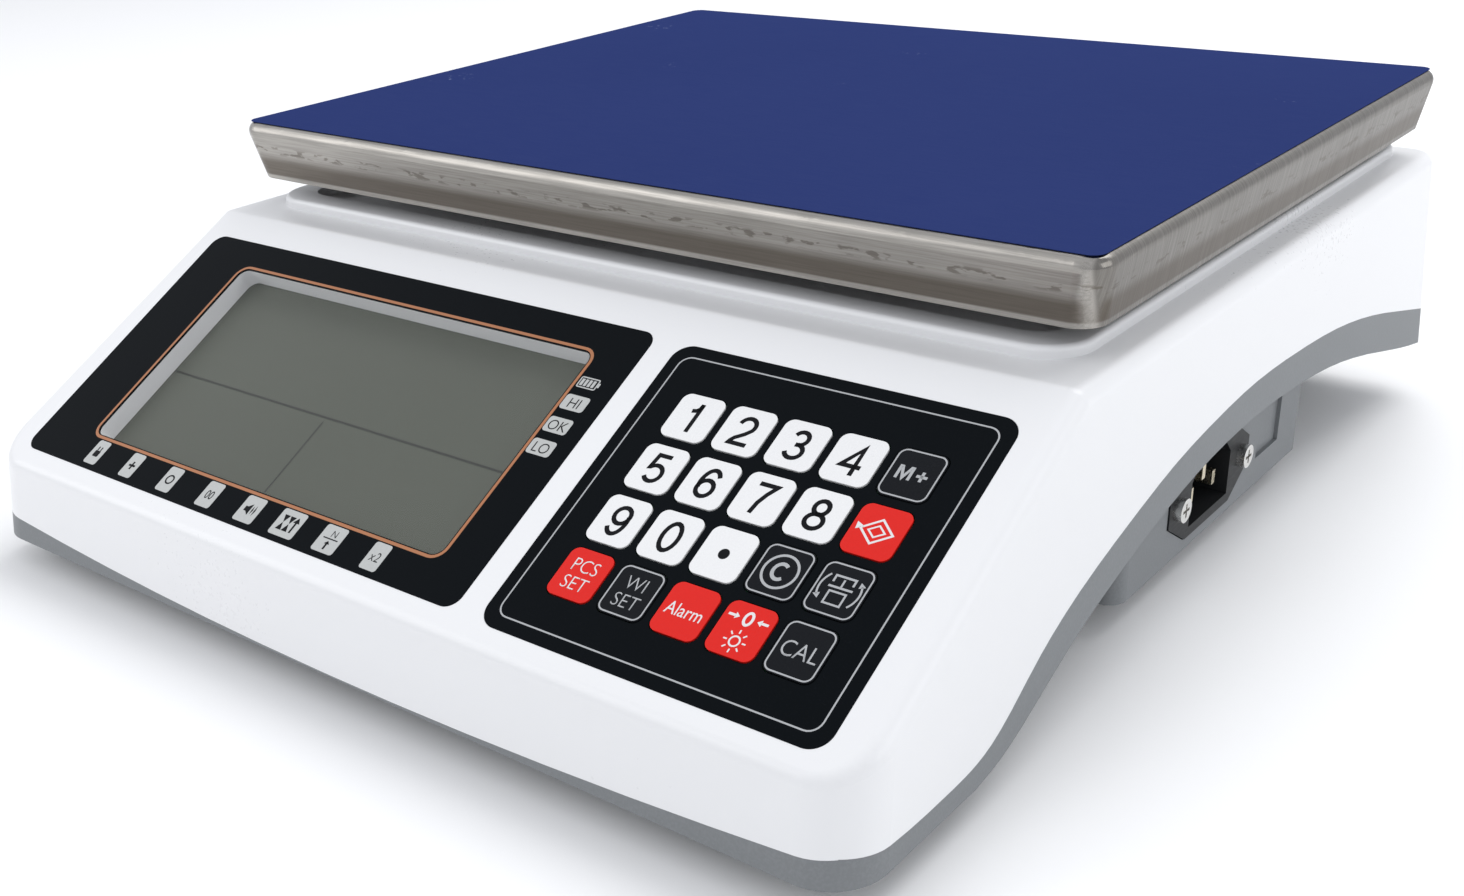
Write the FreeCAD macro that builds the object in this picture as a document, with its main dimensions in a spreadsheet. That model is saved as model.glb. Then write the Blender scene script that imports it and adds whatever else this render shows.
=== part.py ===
import FreeCAD, Part
import math
import os
import Sketcher

# Bench-top counting scale.  Millimetres, +Z up, front (operator) side at -Y.
# The origin is the centre of the footprint on the table, under the feet.

V = FreeCAD.Vector
doc = FreeCAD.newDocument("counting_scale")
sheet = doc.addObject("Spreadsheet::Sheet", "dims")

SIZES = [
    # stainless pan and its blue film
    ("pan_wide", 284.0), ("pan_deep", 221.0), ("pan_skirt", 16.4),
    ("pan_draw_in", 10.0), ("pan_sheet", 1.2), ("pan_bend", 3.0),
    ("pan_corner", 7.0), ("pan_rise", 24.48), ("pan_mid_y", 45.0),
    ("film_thick", 0.12), ("film_inset", 2.45), ("film_corner", 3.4),
    # housing form
    ("foot_lift", 8.0), ("deck_high", 78.4), ("panel_long", 101.28),
    ("panel_tilt", 28.5), ("front_y", 167.0), ("front_lean", 10.0),
    ("rear_y", 167.0), ("rear_lean", 8.0), ("half_low", 147.5),
    ("side_draw", 3.5), ("wall", 2.6), ("front_corner", 13.0),
    ("rear_corner", 8.0), ("crease_round", 3.0), ("edge_round", 4.0),
    # parting line between the white top and the grey base, and side arch
    ("part_front", 15.2), ("part_low", 13.2), ("part_peak", 49.6),
    ("part_rear", 25.0), ("part_mid_front", 8.5), ("band", 9.6),
    ("arch_start", -112.0), ("arch_rear", 15.0), ("web", 3.2),
    ("tub_half", 138.0), ("tub_front", -37.0), ("tub_rear", 82.0),
    ("spine_half", 105.0), ("tub_corner", 5.0),
    # deck details
    ("ring_in_x", 7.5), ("ring_in_y", 2.0), ("ring_band", 8.0),
    ("ring_high", 3.0), ("ring_corner", 12.0),
    ("deck_hole", 27.0), ("collar_wall", 3.0), ("collar_high", 3.5),
    # sloped panel: origin at its lower edge, u across, v up the slope
    ("overlay_thick", 0.5), ("overlay_sink", 0.4), ("overlay_gap", 0.1),
    ("lcd_u0", -135.5), ("lcd_u1", 36.1), ("lcd_v0", 0.4), ("lcd_v1", 85.6),
    ("lcd_corner", 4.0),
    ("win_u0", -114.1), ("win_u1", 22.5), ("win_v0", 11.3), ("win_v1", 75.9),
    ("win_corner", 3.0), ("well_deep", 5.4), ("well_wall", 2.0),
    ("pad_u0", 43.8), ("pad_u1", 135.5), ("pad_v0", 0.0), ("pad_v1", 84.6),
    ("pad_corner", 5.0), ("panel_foot", -95.5),
    ("key_u", 60.88), ("key_v", 64.87), ("key_pitch_u", 14.57),
    ("key_pitch_v", 15.41), ("key_web_u", 2.37), ("key_web_v", 2.61),
    ("key_corner", 2.2), ("key_gap", 0.3), ("key_proud", 0.2),
    ("key_cap", 0.95), ("key_stem", 3.0), ("key_travel", 0.4),
    ("key_margin", 3.0), ("board", 1.2), ("dome_high", 0.45),
    ("dome_half", 4.2), ("dome_top", 2.4),
    # display stack
    ("glass_margin", 3.0), ("glass_thick", 2.2), ("light_thick", 4.0),
    ("frame_wall", 2.0), ("stack_gap", 0.1),
    # load cell and platform
    ("cell_long", 130.0), ("cell_wide", 30.0), ("cell_high", 22.0),
    ("cell_y0", -20.0), ("block_low", 12.0), ("block_long", 30.0),
    ("bolt_half", 3.0), ("bolt_head", 5.0), ("bolt_head_high", 6.0),
    ("bolt_step", 15.0), ("spider_clear", 5.6), ("spider_thick", 6.0),
    ("spider_hub", 60.0), ("arm_wide", 20.0), ("pan_pad_x", 108.0),
    ("pan_pad_y", 78.0), ("pan_pad_half", 9.0), ("pad_peg", 4.0),
    ("stop_y", -12.0), ("stop_gap", 0.6),
    # levelling feet
    ("foot_half", 11.0), ("foot_high", 6.5), ("stud_half", 2.95),
    ("stud_fit", 0.05), ("stud_embed", 4.5), ("stud_top", 27.0),
    ("nut_flat", 5.0), ("nut_high", 5.0), ("foot_front_x", 122.0),
    ("foot_front_y", -137.0), ("foot_rear_x", 90.0), ("foot_rear_y", 146.0),
    ("foot_clear", 0.55),
    # housing screws and posts
    ("post_half", 5.0), ("post_meet", 24.0), ("screw_half", 1.5),
    ("screw_head", 2.9), ("screw_head_high", 2.0), ("screw_sink", 15.0),
    ("screw_long", 16.0), ("head_gap", 0.7),
    # mains inlet on the right side of the tub
    ("inlet_y", 14.5), ("inlet_z", 22.5), ("inlet_long", 50.0),
    ("inlet_tall", 22.4), ("inlet_flange", 2.8), ("inlet_proud", 0.4),
    ("inlet_body_long", 27.0), ("inlet_body_tall", 19.8),
    ("inlet_body_deep", 26.0),
    ("inlet_cav_long", 24.4), ("inlet_cav_tall", 16.8),
    ("inlet_cav_deep", 17.0), ("inlet_screws", 40.0),
    ("inlet_head", 3.2), ("inlet_head_high", 2.2), ("pin_long", 15.0),
    # blanked option recess beside the inlet
    ("blank_y0", 47.0), ("blank_y1", 63.0), ("blank_z0", 16.5),
    ("blank_z1", 33.0), ("blank_deep", 1.1),
    # rocker power switch in the floor of the tub
    ("switch_x", 112.0), ("switch_y", 62.0), ("switch_long", 21.0),
    ("switch_wide", 15.0), ("switch_rim", 1.6), ("switch_body_long", 19.0),
    ("switch_body_wide", 12.8), ("switch_body_high", 13.0),
    ("rocker_long", 16.0), ("rocker_wide", 9.0), ("rocker_pin", 1.2),
    ("rocker_fit", 0.05), ("rocker_turn", 9.0), ("rocker_room", 0.9),
    # battery, its cover, boards and transformer
    ("battery_x0", -128.0), ("battery_long", 101.0), ("battery_y0", -29.0),
    ("battery_deep", 70.0), ("battery_high", 47.0), ("cover_lap", 5.0),
    ("cover_thick", 1.8), ("cover_gap", 0.3), ("slot_gap", 1.5),
    ("hook_wide", 6.0), ("hook_thick", 1.1), ("hook_reach", 1.8),
    ("latch_reach", 0.8),
    ("trafo_x", 72.0), ("trafo_y", -4.0), ("trafo_long", 48.0),
    ("trafo_deep", 40.0), ("trafo_high", 36.0),
    ("main_x0", -20.0), ("main_x1", 100.0), ("main_y0", -148.0),
    ("main_y1", -108.0), ("main_z", 15.0),
    ("power_x0", -99.0), ("power_x1", -44.0), ("power_y0", 90.0),
    ("power_y1", 136.0), ("power_lift", 5.0), ("board_screw_in", 5.0),
    ("board_post", 3.2),
]


class Size:
    """A length with the sheet expression that it comes from."""

    def __init__(self, value, text):
        self.value = float(value)
        self.text = text

    def __add__(self, other):
        other = size(other)
        return Size(self.value + other.value,
                    "(%s + %s)" % (self.text, other.text))

    def __sub__(self, other):
        other = size(other)
        return Size(self.value - other.value,
                    "(%s - %s)" % (self.text, other.text))

    def __mul__(self, other):
        other = size(other)
        return Size(self.value * other.value,
                    "(%s * %s)" % (self.text, other.text))

    def __truediv__(self, other):
        other = size(other)
        return Size(self.value / other.value,
                    "(%s / %s)" % (self.text, other.text))

    def __radd__(self, other):
        return size(other) + self

    def __rsub__(self, other):
        return size(other) - self

    def __rmul__(self, other):
        return size(other) * self

    def __rtruediv__(self, other):
        return size(other) / self

    def __neg__(self):
        return size(0) - self


def size(item):
    if isinstance(item, Size):
        return item
    return Size(item, "%.6g" % item if item >= 0 else "(%.6g)" % item)


def trig(kind, angle):
    function = {"cos": math.cos, "sin": math.sin, "tan": math.tan}[kind]
    return Size(function(math.radians(angle.value)),
                "%s(%s * 1 deg)" % (kind, angle.text))


class Dims:
    pass


d = Dims()
for row, (name, value) in enumerate(SIZES, 1):
    sheet.set("A%d" % row, name)
    sheet.set("B%d" % row, str(value))
    sheet.setAlias("B%d" % row, name)
    setattr(d, name, Size(value, "dims.%s" % name))
doc.recompute()

# sizes that follow from what they fit
half_top = d.half_low - d.side_draw
spider_low = d.deck_high + d.spider_clear
pan_top = d.deck_high + d.pan_rise
ring_wide = d.pan_wide - 2 * d.ring_in_x
ring_deep = d.pan_deep - 2 * d.ring_in_y
foot_hole = d.stud_half + d.foot_clear
head_hole = d.screw_head + d.head_gap


# ---------------------------------------------------------------- helpers

def bind(obj, prop, item):
    obj.setExpression(prop, size(item).text)


def base_at(obj, x, y, z):
    """Put an object's Placement at a point bound to the sheet."""
    x, y, z = size(x), size(y), size(z)
    obj.Placement.Base = V(x.value, y.value, z.value)
    for axis, item in (("x", x), ("y", y), ("z", z)):
        bind(obj, "Placement.Base." + axis, item)


def box(name, x0, x1, y0, y1, z0, z1):
    obj = doc.addObject("Part::Box", name)
    spans = (("Length", x0, x1), ("Width", y0, y1), ("Height", z0, z1))
    for prop, low, high in spans:
        bind(obj, prop, size(high) - size(low))
    base_at(obj, x0, y0, z0)
    return obj


TURNS = {"z": (V(0, 0, 1), 0), "x": (V(0, 1, 0), 90), "y": (V(1, 0, 0), -90)}


def rod(name, x, y, z, radius, length, axis="z"):
    """A cylinder that starts at a point and runs along +axis."""
    obj = doc.addObject("Part::Cylinder", name)
    obj.Placement = FreeCAD.Placement(V(), FreeCAD.Rotation(*TURNS[axis]))
    bind(obj, "Radius", radius)
    bind(obj, "Height", length)
    base_at(obj, x, y, z)
    return obj


def fuse(name, parts):
    obj = doc.addObject("Part::MultiFuse", name)
    obj.Shapes = parts
    return obj


def cut(name, body, tools):
    obj = doc.addObject("Part::Cut", name)
    obj.Base = body
    obj.Tool = tools[0] if len(tools) == 1 else fuse(name + "_tools", tools)
    return obj


def common(name, first, second):
    obj = doc.addObject("Part::Common", name)
    obj.Base = first
    obj.Tool = second
    return obj


def edges_of(shape, test):
    return [n for n, edge in enumerate(shape.Edges, 1) if test(edge)]


def ends(edge):
    points = [v.Point for v in edge.Vertexes]
    return points if len(points) == 2 else points * 2


def upright(edge):
    a, b = ends(edge)
    return abs(a.z - b.z) > 0.05 and math.hypot(a.x - b.x, a.y - b.y) < 0.01


def at_level(level):
    def test(edge):
        return all(abs(v.Point.z - level) < 0.01 for v in edge.Vertexes)
    return test


def rounded(name, body, test, radius):
    """A Part::Fillet on the edges that pass a test."""
    doc.recompute()
    obj = doc.addObject("Part::Fillet", name)
    obj.Base = body
    picked = edges_of(body.Shape, test)
    if not picked:
        raise ValueError("no edges to round for " + name)
    obj.Edges = [(n, radius.value, radius.value) for n in picked]
    return obj


def plane_of(body, role):
    return [f for f in body.Origin.OriginFeatures if f.Role == role][0]


def sketch_on(body, name, role, offset):
    sketch = body.newObject("Sketcher::SketchObject", name)
    sketch.AttachmentSupport = [(plane_of(body, role), "")]
    sketch.MapMode = "FlatFace"
    sketch.AttachmentOffset = FreeCAD.Placement(
        V(0, 0, size(offset).value), FreeCAD.Rotation())
    bind(sketch, "AttachmentOffset.Base.z", offset)
    return sketch


def polygon(sketch, points):
    """A closed outline whose corners are bound to the sheet."""
    points = [(size(a), size(b)) for a, b in points]
    first = sketch.GeometryCount
    count = len(points)
    for n in range(count):
        a, b = points[n], points[(n + 1) % count]
        sketch.addGeometry(Part.LineSegment(
            V(a[0].value, a[1].value, 0), V(b[0].value, b[1].value, 0)))
    for n in range(count):
        sketch.addConstraint(Sketcher.Constraint(
            "Coincident", first + n, 2, first + (n + 1) % count, 1))
    for n, point in enumerate(points):
        for kind, item in zip(("DistanceX", "DistanceY"), point):
            c = sketch.addConstraint(Sketcher.Constraint(
                kind, -1, 1, first + n, 1, item.value))
            bind(sketch, "Constraints[%d]" % c, item)


def circle(sketch, x, y, radius):
    x, y, radius = size(x), size(y), size(radius)
    g = sketch.addGeometry(Part.Circle(V(x.value, y.value, 0), V(0, 0, 1),
                                       radius.value))
    for kind, item in (("DistanceX", x), ("DistanceY", y)):
        c = sketch.addConstraint(
            Sketcher.Constraint(kind, -1, 1, g, 3, item.value))
        bind(sketch, "Constraints[%d]" % c, item)
    c = sketch.addConstraint(Sketcher.Constraint("Radius", g, radius.value))
    bind(sketch, "Constraints[%d]" % c, radius)


def pad(body, name, sketch, length):
    feature = body.newObject("PartDesign::Pad", name)
    feature.Profile = sketch
    bind(feature, "Length", length)
    return feature


def prism(name, role, points, low, high):
    """A body padded from an outline on an origin plane, low to high."""
    body = doc.addObject("PartDesign::Body", name)
    sketch = sketch_on(body, name + "_outline", role, low)
    polygon(sketch, points)
    pad(body, name + "_pad", sketch, size(high) - size(low))
    return body


def soften(body, name, test, radius):
    """A PartDesign fillet on the tip's edges that pass a test."""
    doc.recompute()
    tip = body.Tip
    names = ["Edge%d" % n for n in edges_of(tip.Shape, test)]
    feature = body.newObject("PartDesign::Fillet", name)
    feature.Base = (tip, names)
    bind(feature, "Radius", radius)
    return feature


def corners(x0, x1, y0, y1):
    return [(x0, y0), (x1, y0), (x1, y1), (x0, y1)]


def slab(name, x0, x1, y0, y1, z0, z1, corner, top=None):
    """A rounded rectangular block."""
    body = prism(name, "XY_Plane", corners(x0, x1, y0, y1), z0, z1)
    soften(body, name + "_corner", upright, corner)
    if top is not None:
        soften(body, name + "_top", at_level(size(z1).value), top)
    return body


parts = []


def keep(obj, label):
    obj.Label = label
    parts.append(obj)
    return obj


# ------------------------------------------------------- the housing form

cos_tilt = trig("cos", d.panel_tilt)
sin_tilt = trig("sin", d.panel_tilt)
tan_tilt = trig("tan", d.panel_tilt)
tan_lean = trig("tan", d.front_lean)

# the crease ends the sloped panel, which starts above the leaning front
lip_high = d.deck_high - sin_tilt * d.panel_long
crease_y = (tan_lean * (lip_high - d.foot_lift) - d.front_y
            + cos_tilt * d.panel_long)

# the panel's own frame starts on the slope, panel_foot below the crease
panel_y = crease_y + d.panel_foot * cos_tilt
panel_z = d.deck_high + d.panel_foot * sin_tilt


def place_on_panel(obj):
    obj.Placement = FreeCAD.Placement(
        V(0, panel_y.value, panel_z.value),
        FreeCAD.Rotation(V(1, 0, 0), d.panel_tilt.value))
    bind(obj, "Placement.Base.y", panel_y)
    bind(obj, "Placement.Base.z", panel_z)
    bind(obj, "Placement.Rotation.Angle", d.panel_tilt)
    return obj


def form(name, inset, low):
    """The wedge-fronted form, drawn inset from the outer skin."""
    inset = size(inset)
    foot = -d.front_y + inset
    rise = d.foot_lift
    lip_z = (d.deck_high - inset / cos_tilt + tan_tilt
             * (foot - tan_lean * rise - crease_y)) \
        / (1 - tan_tilt * tan_lean)
    lip_y = foot + tan_lean * (lip_z - rise)
    crease = crease_y + inset * (1 / cos_tilt - 1) / tan_tilt
    side = [(foot + tan_lean * (low - rise), low), (lip_y, lip_z),
            (crease, d.deck_high - inset),
            (d.rear_y - d.rear_lean - inset, d.deck_high - inset),
            (d.rear_y - inset, low)]
    draft = (d.half_low - half_top) / (d.deck_high - d.foot_lift)
    wide_low = d.half_low - inset - draft * (low - d.foot_lift)
    wide_top = half_top - inset
    front = [(-wide_low, low), (wide_low, low),
             (wide_top, d.deck_high), (-wide_top, d.deck_high)]
    profile = prism(name + "_profile", "YZ_Plane", side,
                    -d.half_low, d.half_low)
    face = prism(name + "_front", "XZ_Plane", front,
                 -d.rear_y - 5, d.front_y + 5)
    wedge = common(name + "_wedge", profile, face)
    doc.recompute()

    def corner_edge(front_side):
        def test(edge):
            a, b = ends(edge)
            if a.x * b.x < 0 or abs(a.z - b.z) < 3:
                return False
            if front_side:
                return max(a.y, b.y) < lip_y.value + 1
            return min(a.y, b.y) > d.rear_y.value - d.rear_lean.value \
                - inset.value - 1
        return test

    soft = rounded(name + "_front_corners", wedge, corner_edge(True),
                   d.front_corner - inset)
    soft = rounded(name + "_rear_corners", soft, corner_edge(False),
                   d.rear_corner - inset)

    def crease_edge(edge):
        a, b = ends(edge)
        flat = abs(a.z - b.z) < 0.01 and abs(a.y - b.y) < 0.01
        return flat and abs(a.y - crease.value) < 0.5 and a.x * b.x < 0

    soft = rounded(name + "_crease", soft, crease_edge, d.crease_round)
    doc.recompute()
    top = []
    other = []
    for face in soft.Shape.Faces:
        u0, u1, v0, v1 = face.ParameterRange
        normal = face.normalAt((u0 + u1) / 2, (v0 + v1) / 2)
        (top if normal.z > 0.7 else other).extend(face.Edges)

    def rim_edge(edge):
        return (any(edge.isSame(e) for e in top)
                and any(edge.isSame(e) for e in other))

    return rounded(name, soft, rim_edge, d.edge_round - inset * 0.7)


def spline_prism(name, points, x0, x1, lid):
    """The space between a smooth YZ curve and a level lid, along X."""
    curve = Part.BSplineCurve()
    curve.interpolate([V(0, y.value, z.value) for y, z in points])
    a, b = curve.StartPoint, curve.EndPoint
    c, e = V(0, b.y, size(lid).value), V(0, a.y, size(lid).value)
    wire = Part.Wire([curve.toShape(), Part.makeLine(b, c),
                      Part.makeLine(c, e), Part.makeLine(e, a)])
    solid = Part.Face(wire).extrude(V(size(x1).value - size(x0).value, 0, 0))
    obj = doc.addObject("Part::Feature", name)
    obj.Shape = solid
    obj.Placement = FreeCAD.Placement(V(size(x0).value, 0, 0),
                                      FreeCAD.Rotation())
    return obj


def along(share):
    """A station between the arch start and the rear face."""
    return d.arch_start + (d.rear_y - d.arch_start) * share


def between(low, high, share):
    return low + (high - low) * share


outer = form("outer_form", 0, d.foot_lift)
inner = form("inner_form", d.wall, d.foot_lift + d.wall)

# side parting line: level at the front, over the arch, down to the rear
parting = [(-d.front_y - 8, d.part_front + 0.4), (-d.front_y, d.part_front),
           (between(-d.front_y, d.arch_start, 0.3), d.part_low + 0.4),
           (between(-d.front_y, d.arch_start, 0.66), d.part_low),
           (along(-0.02), d.part_low + 1.2),
           (along(0.06), between(d.part_low, d.part_peak, 0.33)),
           (along(0.125), between(d.part_low, d.part_peak, 0.54)),
           (along(0.225), between(d.part_low, d.part_peak, 0.75)),
           (along(0.30), between(d.part_low, d.part_peak, 0.875)),
           (along(0.38), between(d.part_low, d.part_peak, 0.955)),
           (along(0.47), d.part_peak),
           (along(0.565), between(d.part_rear, d.part_peak, 0.97)),
           (along(0.68), between(d.part_rear, d.part_peak, 0.86)),
           (along(0.81), between(d.part_rear, d.part_peak, 0.60)),
           (along(0.91), between(d.part_rear, d.part_peak, 0.32)),
           (d.rear_y + 8, d.part_rear)]
above_sides = spline_prism("above_sides", parting, -d.half_low - 5,
                           d.half_low + 5, d.deck_high + 30)

# front parting line: one shallow arc, lowest in the middle
apron_body = doc.addObject("Part::Feature", "above_front")
half = d.half_low.value + 5
low_z, high_z = d.part_mid_front.value, d.part_front.value
bow = (high_z - low_z) * (half / d.half_low.value) ** 2
arc = Part.Arc(V(-half, 0, low_z + bow), V(0, 0, low_z),
               V(half, 0, low_z + bow)).toShape()
lid_z = d.part_front.value + 6
lid_right, lid_left = V(half, 0, lid_z), V(-half, 0, lid_z)
wire = Part.Wire([arc, Part.makeLine(V(half, 0, low_z + bow), lid_right),
                  Part.makeLine(lid_right, lid_left),
                  Part.makeLine(lid_left, V(-half, 0, low_z + bow))])
apron_body.Shape = Part.Face(wire).extrude(
    V(0, 8 + d.wall.value + 1.4, 0))
apron_body.Placement = FreeCAD.Placement(V(0, -d.front_y.value - 8, 0),
                                         FreeCAD.Rotation())
above = fuse("above_parting", [above_sides, apron_body])

# ------------------------------------------------------------- top housing

panel_cut = [
    slab("lcd_recess", d.lcd_u0 - d.overlay_gap, d.lcd_u1 + d.overlay_gap,
         d.lcd_v0 - d.overlay_gap, d.lcd_v1 + d.overlay_gap,
         -d.overlay_sink, 12, d.lcd_corner + d.overlay_gap),
    slab("pad_recess", d.pad_u0 - d.overlay_gap, d.pad_u1 + d.overlay_gap,
         d.pad_v0 - d.overlay_gap, d.pad_v1 + d.overlay_gap,
         -d.overlay_sink, 12, d.pad_corner + d.overlay_gap),
    slab("lcd_opening", d.win_u0, d.win_u1, d.win_v0, d.win_v1,
         -20, 1, d.win_corner),
]
half_u = (d.key_pitch_u - d.key_web_u) / 2
half_v = (d.key_pitch_v - d.key_web_v) / 2
open_u0 = d.key_u - half_u - d.key_margin
open_u1 = d.key_u + 4 * d.key_pitch_u + half_u + d.key_margin
open_v1 = d.key_v + half_v + d.key_margin
open_v0 = d.key_v - 3 * d.key_pitch_v - half_v - d.key_margin
panel_cut.append(slab("key_opening", open_u0, open_u1, open_v0, open_v1,
                      -20, 1, d.key_corner))
panel_tools = place_on_panel(fuse("panel_tools", panel_cut))

well = slab("well_block", d.win_u0 - d.well_wall, d.win_u1 + d.well_wall,
            d.win_v0 - d.well_wall, d.win_v1 + d.well_wall,
            -d.well_deep, -d.overlay_sink - 0.2, d.win_corner + d.well_wall)
well = place_on_panel(well)

ring_y0 = d.pan_mid_y - ring_deep / 2
ring_y1 = d.pan_mid_y + ring_deep / 2
ring_top = d.deck_high + d.ring_high
ring = cut("deck_ring", slab(
    "ring_block", -ring_wide / 2, ring_wide / 2, ring_y0, ring_y1,
    d.deck_high - 0.5, ring_top, d.ring_corner, d.ring_high * 0.45),
    [slab("ring_inside", -ring_wide / 2 + d.ring_band,
          ring_wide / 2 - d.ring_band, ring_y0 + d.ring_band,
          ring_y1 - d.ring_band, d.deck_high - 2, ring_top + 2,
          d.ring_corner - d.ring_band * 0.5)])

column_y = d.cell_y0 + d.block_long / 2
collar = rod("collar", 0, column_y, d.deck_high - d.wall,
             d.deck_hole + d.collar_wall, d.wall + d.collar_high)
hole = rod("deck_opening", 0, column_y, d.deck_high - d.wall - 5,
           d.deck_hole, d.wall + d.collar_high + 10)

post_places = [(d.half_low - d.wall - 7.4, -d.front_y + 19),
               (d.spine_half - 8, crease_y + 20),
               (d.spine_half - 45, d.rear_y - 10)]
posts = []
post_holes = []
for n, (x, y) in enumerate(post_places):
    for side in (-1, 1):
        tag = "%d%s" % (n, "l" if side < 0 else "r")
        posts.append(rod("top_post_" + tag, side * x, y, d.post_meet,
                         d.post_half - 0.5, d.deck_high))
        post_holes.append(rod("top_pilot_" + tag, side * x, y,
                              d.post_meet - 1, d.screw_half,
                              d.screw_long - (d.post_meet - d.screw_sink)
                              + 1))
post_stock = common("top_posts", fuse("top_post_rods", posts), outer)

skin = cut("top_skin", common("top_solid", outer, above), [inner])
top = fuse("top_joined", [skin, ring, well, post_stock, collar])
top = cut("top_housing_body", top, [panel_tools, hole] + post_holes)
keep(top, "top_housing")

# ---------------------------------------------------------- bottom housing


def hand_recess(name, grow):
    """The grip space under the side arch, grown for the wall inside."""
    grow = size(grow)
    lift = grow / d.wall * d.web
    crown = d.part_peak - d.band + lift
    low = d.foot_lift - 3
    arch = [(d.arch_start - 22 - grow, low),
            (d.arch_start - 11 - grow * 0.8, d.foot_lift - 0.3
             + lift * 0.25),
            (d.arch_start - grow * 0.6, between(d.foot_lift, crown, 0.045)),
            (along(0.045) - grow * 0.5,
             between(d.foot_lift, crown, 0.175)),
            (along(0.10), between(d.foot_lift, crown, 0.375)),
            (along(0.165), between(d.foot_lift, crown, 0.575)),
            (along(0.235), between(d.foot_lift, crown, 0.74)),
            (along(0.31), between(d.foot_lift, crown, 0.88)),
            (along(0.39), between(d.foot_lift, crown, 0.97)),
            (along(0.48), crown),
            (along(0.58), between(d.arch_rear + lift, crown, 0.95)),
            (along(0.69), between(d.arch_rear + lift, crown, 0.80)),
            (along(0.80), between(d.arch_rear + lift, crown, 0.54)),
            (along(0.90), between(d.arch_rear + lift, crown, 0.26)),
            (d.rear_y + 8, d.arch_rear + lift)]
    right = spline_prism(name + "_right", arch, d.spine_half - grow,
                         d.half_low + 10, low - 2)
    left = spline_prism(name + "_left", arch, -d.half_low - 10,
                        -d.spine_half + grow, low - 2)
    tub = slab(name + "_tub", -d.tub_half + grow, d.tub_half - grow,
               d.tub_front + grow, d.tub_rear - grow, low - 1,
               d.deck_high, d.tub_corner - grow * 0.6)
    return cut(name, fuse(name + "_pair", [right, left]), [tub])


recess = hand_recess("grip", 0)
recess_wall = hand_recess("grip_wall", d.wall)
hollow = cut("bottom_hollow", inner, [recess_wall])
low_block = cut("bottom_block", outer, [above])
shell = cut("bottom_shell", low_block, [recess, hollow])

floor_z = d.foot_lift + d.wall
bosses = []
drills = []
for n, (x, y) in enumerate(post_places):
    for side in (-1, 1):
        tag = "%d%s" % (n, "l" if side < 0 else "r")
        bosses.append(rod("post_" + tag, side * x, y, d.foot_lift + 0.5,
                          d.post_half, d.post_meet - d.foot_lift - 0.5))
        drills.append(rod("post_bore_" + tag, side * x, y, d.foot_lift - 1,
                          d.screw_half + 0.3, d.post_meet))
        drills.append(rod("post_sink_" + tag, side * x, y, d.foot_lift - 1,
                          head_hole, d.screw_sink - d.foot_lift + 1))

foot_places = [(-d.foot_front_x, d.foot_front_y),
               (d.foot_front_x, d.foot_front_y),
               (-d.foot_rear_x, d.foot_rear_y),
               (d.foot_rear_x, d.foot_rear_y)]
nut_z = floor_z + 1.0
for n, (x, y) in enumerate(foot_places, 1):
    bosses.append(rod("foot_boss_%d" % n, x, y, d.foot_lift + 0.5,
                      d.nut_flat + 4.0, nut_z - d.foot_lift + 2.5))
    drills.append(rod("foot_hole_%d" % n, x, y, d.foot_lift - 1,
                      foot_hole, d.wall + 8))


def hexagon(name, x, y, z0, z1, flat):
    """A hexagonal body across the flats, flats facing X."""
    x, y, reach = size(x), size(y), size(flat) / math.cos(math.pi / 6)
    points = [(x + reach * math.sin(math.radians(60 * k)),
               y + reach * math.cos(math.radians(60 * k)))
              for k in range(6)]
    return prism(name, "XY_Plane", points, z0, z1)


for n, (x, y) in enumerate(foot_places, 1):
    drills.append(hexagon("nut_pocket_%d" % n, x, y, nut_z,
                          nut_z + d.nut_high + 4, d.nut_flat + 0.15))

# base block seat, stop boss, battery walls, board posts
cell_y1 = d.cell_y0 + d.cell_long
block_z0 = floor_z
cell_z0 = floor_z + d.block_low
bosses.append(box("cell_seat", -d.cell_wide / 2 - 4, d.cell_wide / 2 + 4,
                  cell_y1 - d.block_long - 4, cell_y1 + 4,
                  d.foot_lift + 0.5, floor_z))
stop_z = d.foot_lift + 0.5
bosses.append(rod("stop_boss", 0, d.stop_y, stop_z, 8,
                  floor_z + 5 - stop_z))
drills.append(rod("stop_bore", 0, d.stop_y, d.foot_lift - 1,
                  d.bolt_half, 20))
for k in (0, 1):
    y = cell_y1 - d.block_long / 2 + (k - 0.5) * d.bolt_step
    drills.append(rod("cell_drill_%d" % k, 0, y, d.foot_lift - 1,
                      d.bolt_half, 20))

bat_x1 = d.battery_x0 + d.battery_long
bat_y1 = d.battery_y0 + d.battery_deep
drills.append(box("cover_seat", d.battery_x0 - d.cover_lap,
                  bat_x1 + d.cover_lap, d.battery_y0 - d.cover_lap,
                  bat_y1 + d.cover_lap, d.foot_lift - 1,
                  d.foot_lift + d.cover_thick))
drills.append(box("battery_port", d.battery_x0 - d.slot_gap,
                  bat_x1 + d.slot_gap, d.battery_y0 - d.slot_gap,
                  bat_y1 + d.slot_gap, d.foot_lift - 1, floor_z + 1))
wall_top = floor_z + 20
rib = size(2)
rib_x0 = bat_x1 + d.slot_gap
bosses.append(box("battery_rib_x", rib_x0, rib_x0 + rib,
                  d.battery_y0 + 10, bat_y1 - 10, floor_z - 0.5, wall_top))
rib_y0 = bat_y1 + d.slot_gap
bosses.append(box("battery_rib_y", d.battery_x0 + 10, bat_x1 - 10,
                  rib_y0, rib_y0 + rib, floor_z - 0.5, wall_top))

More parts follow.
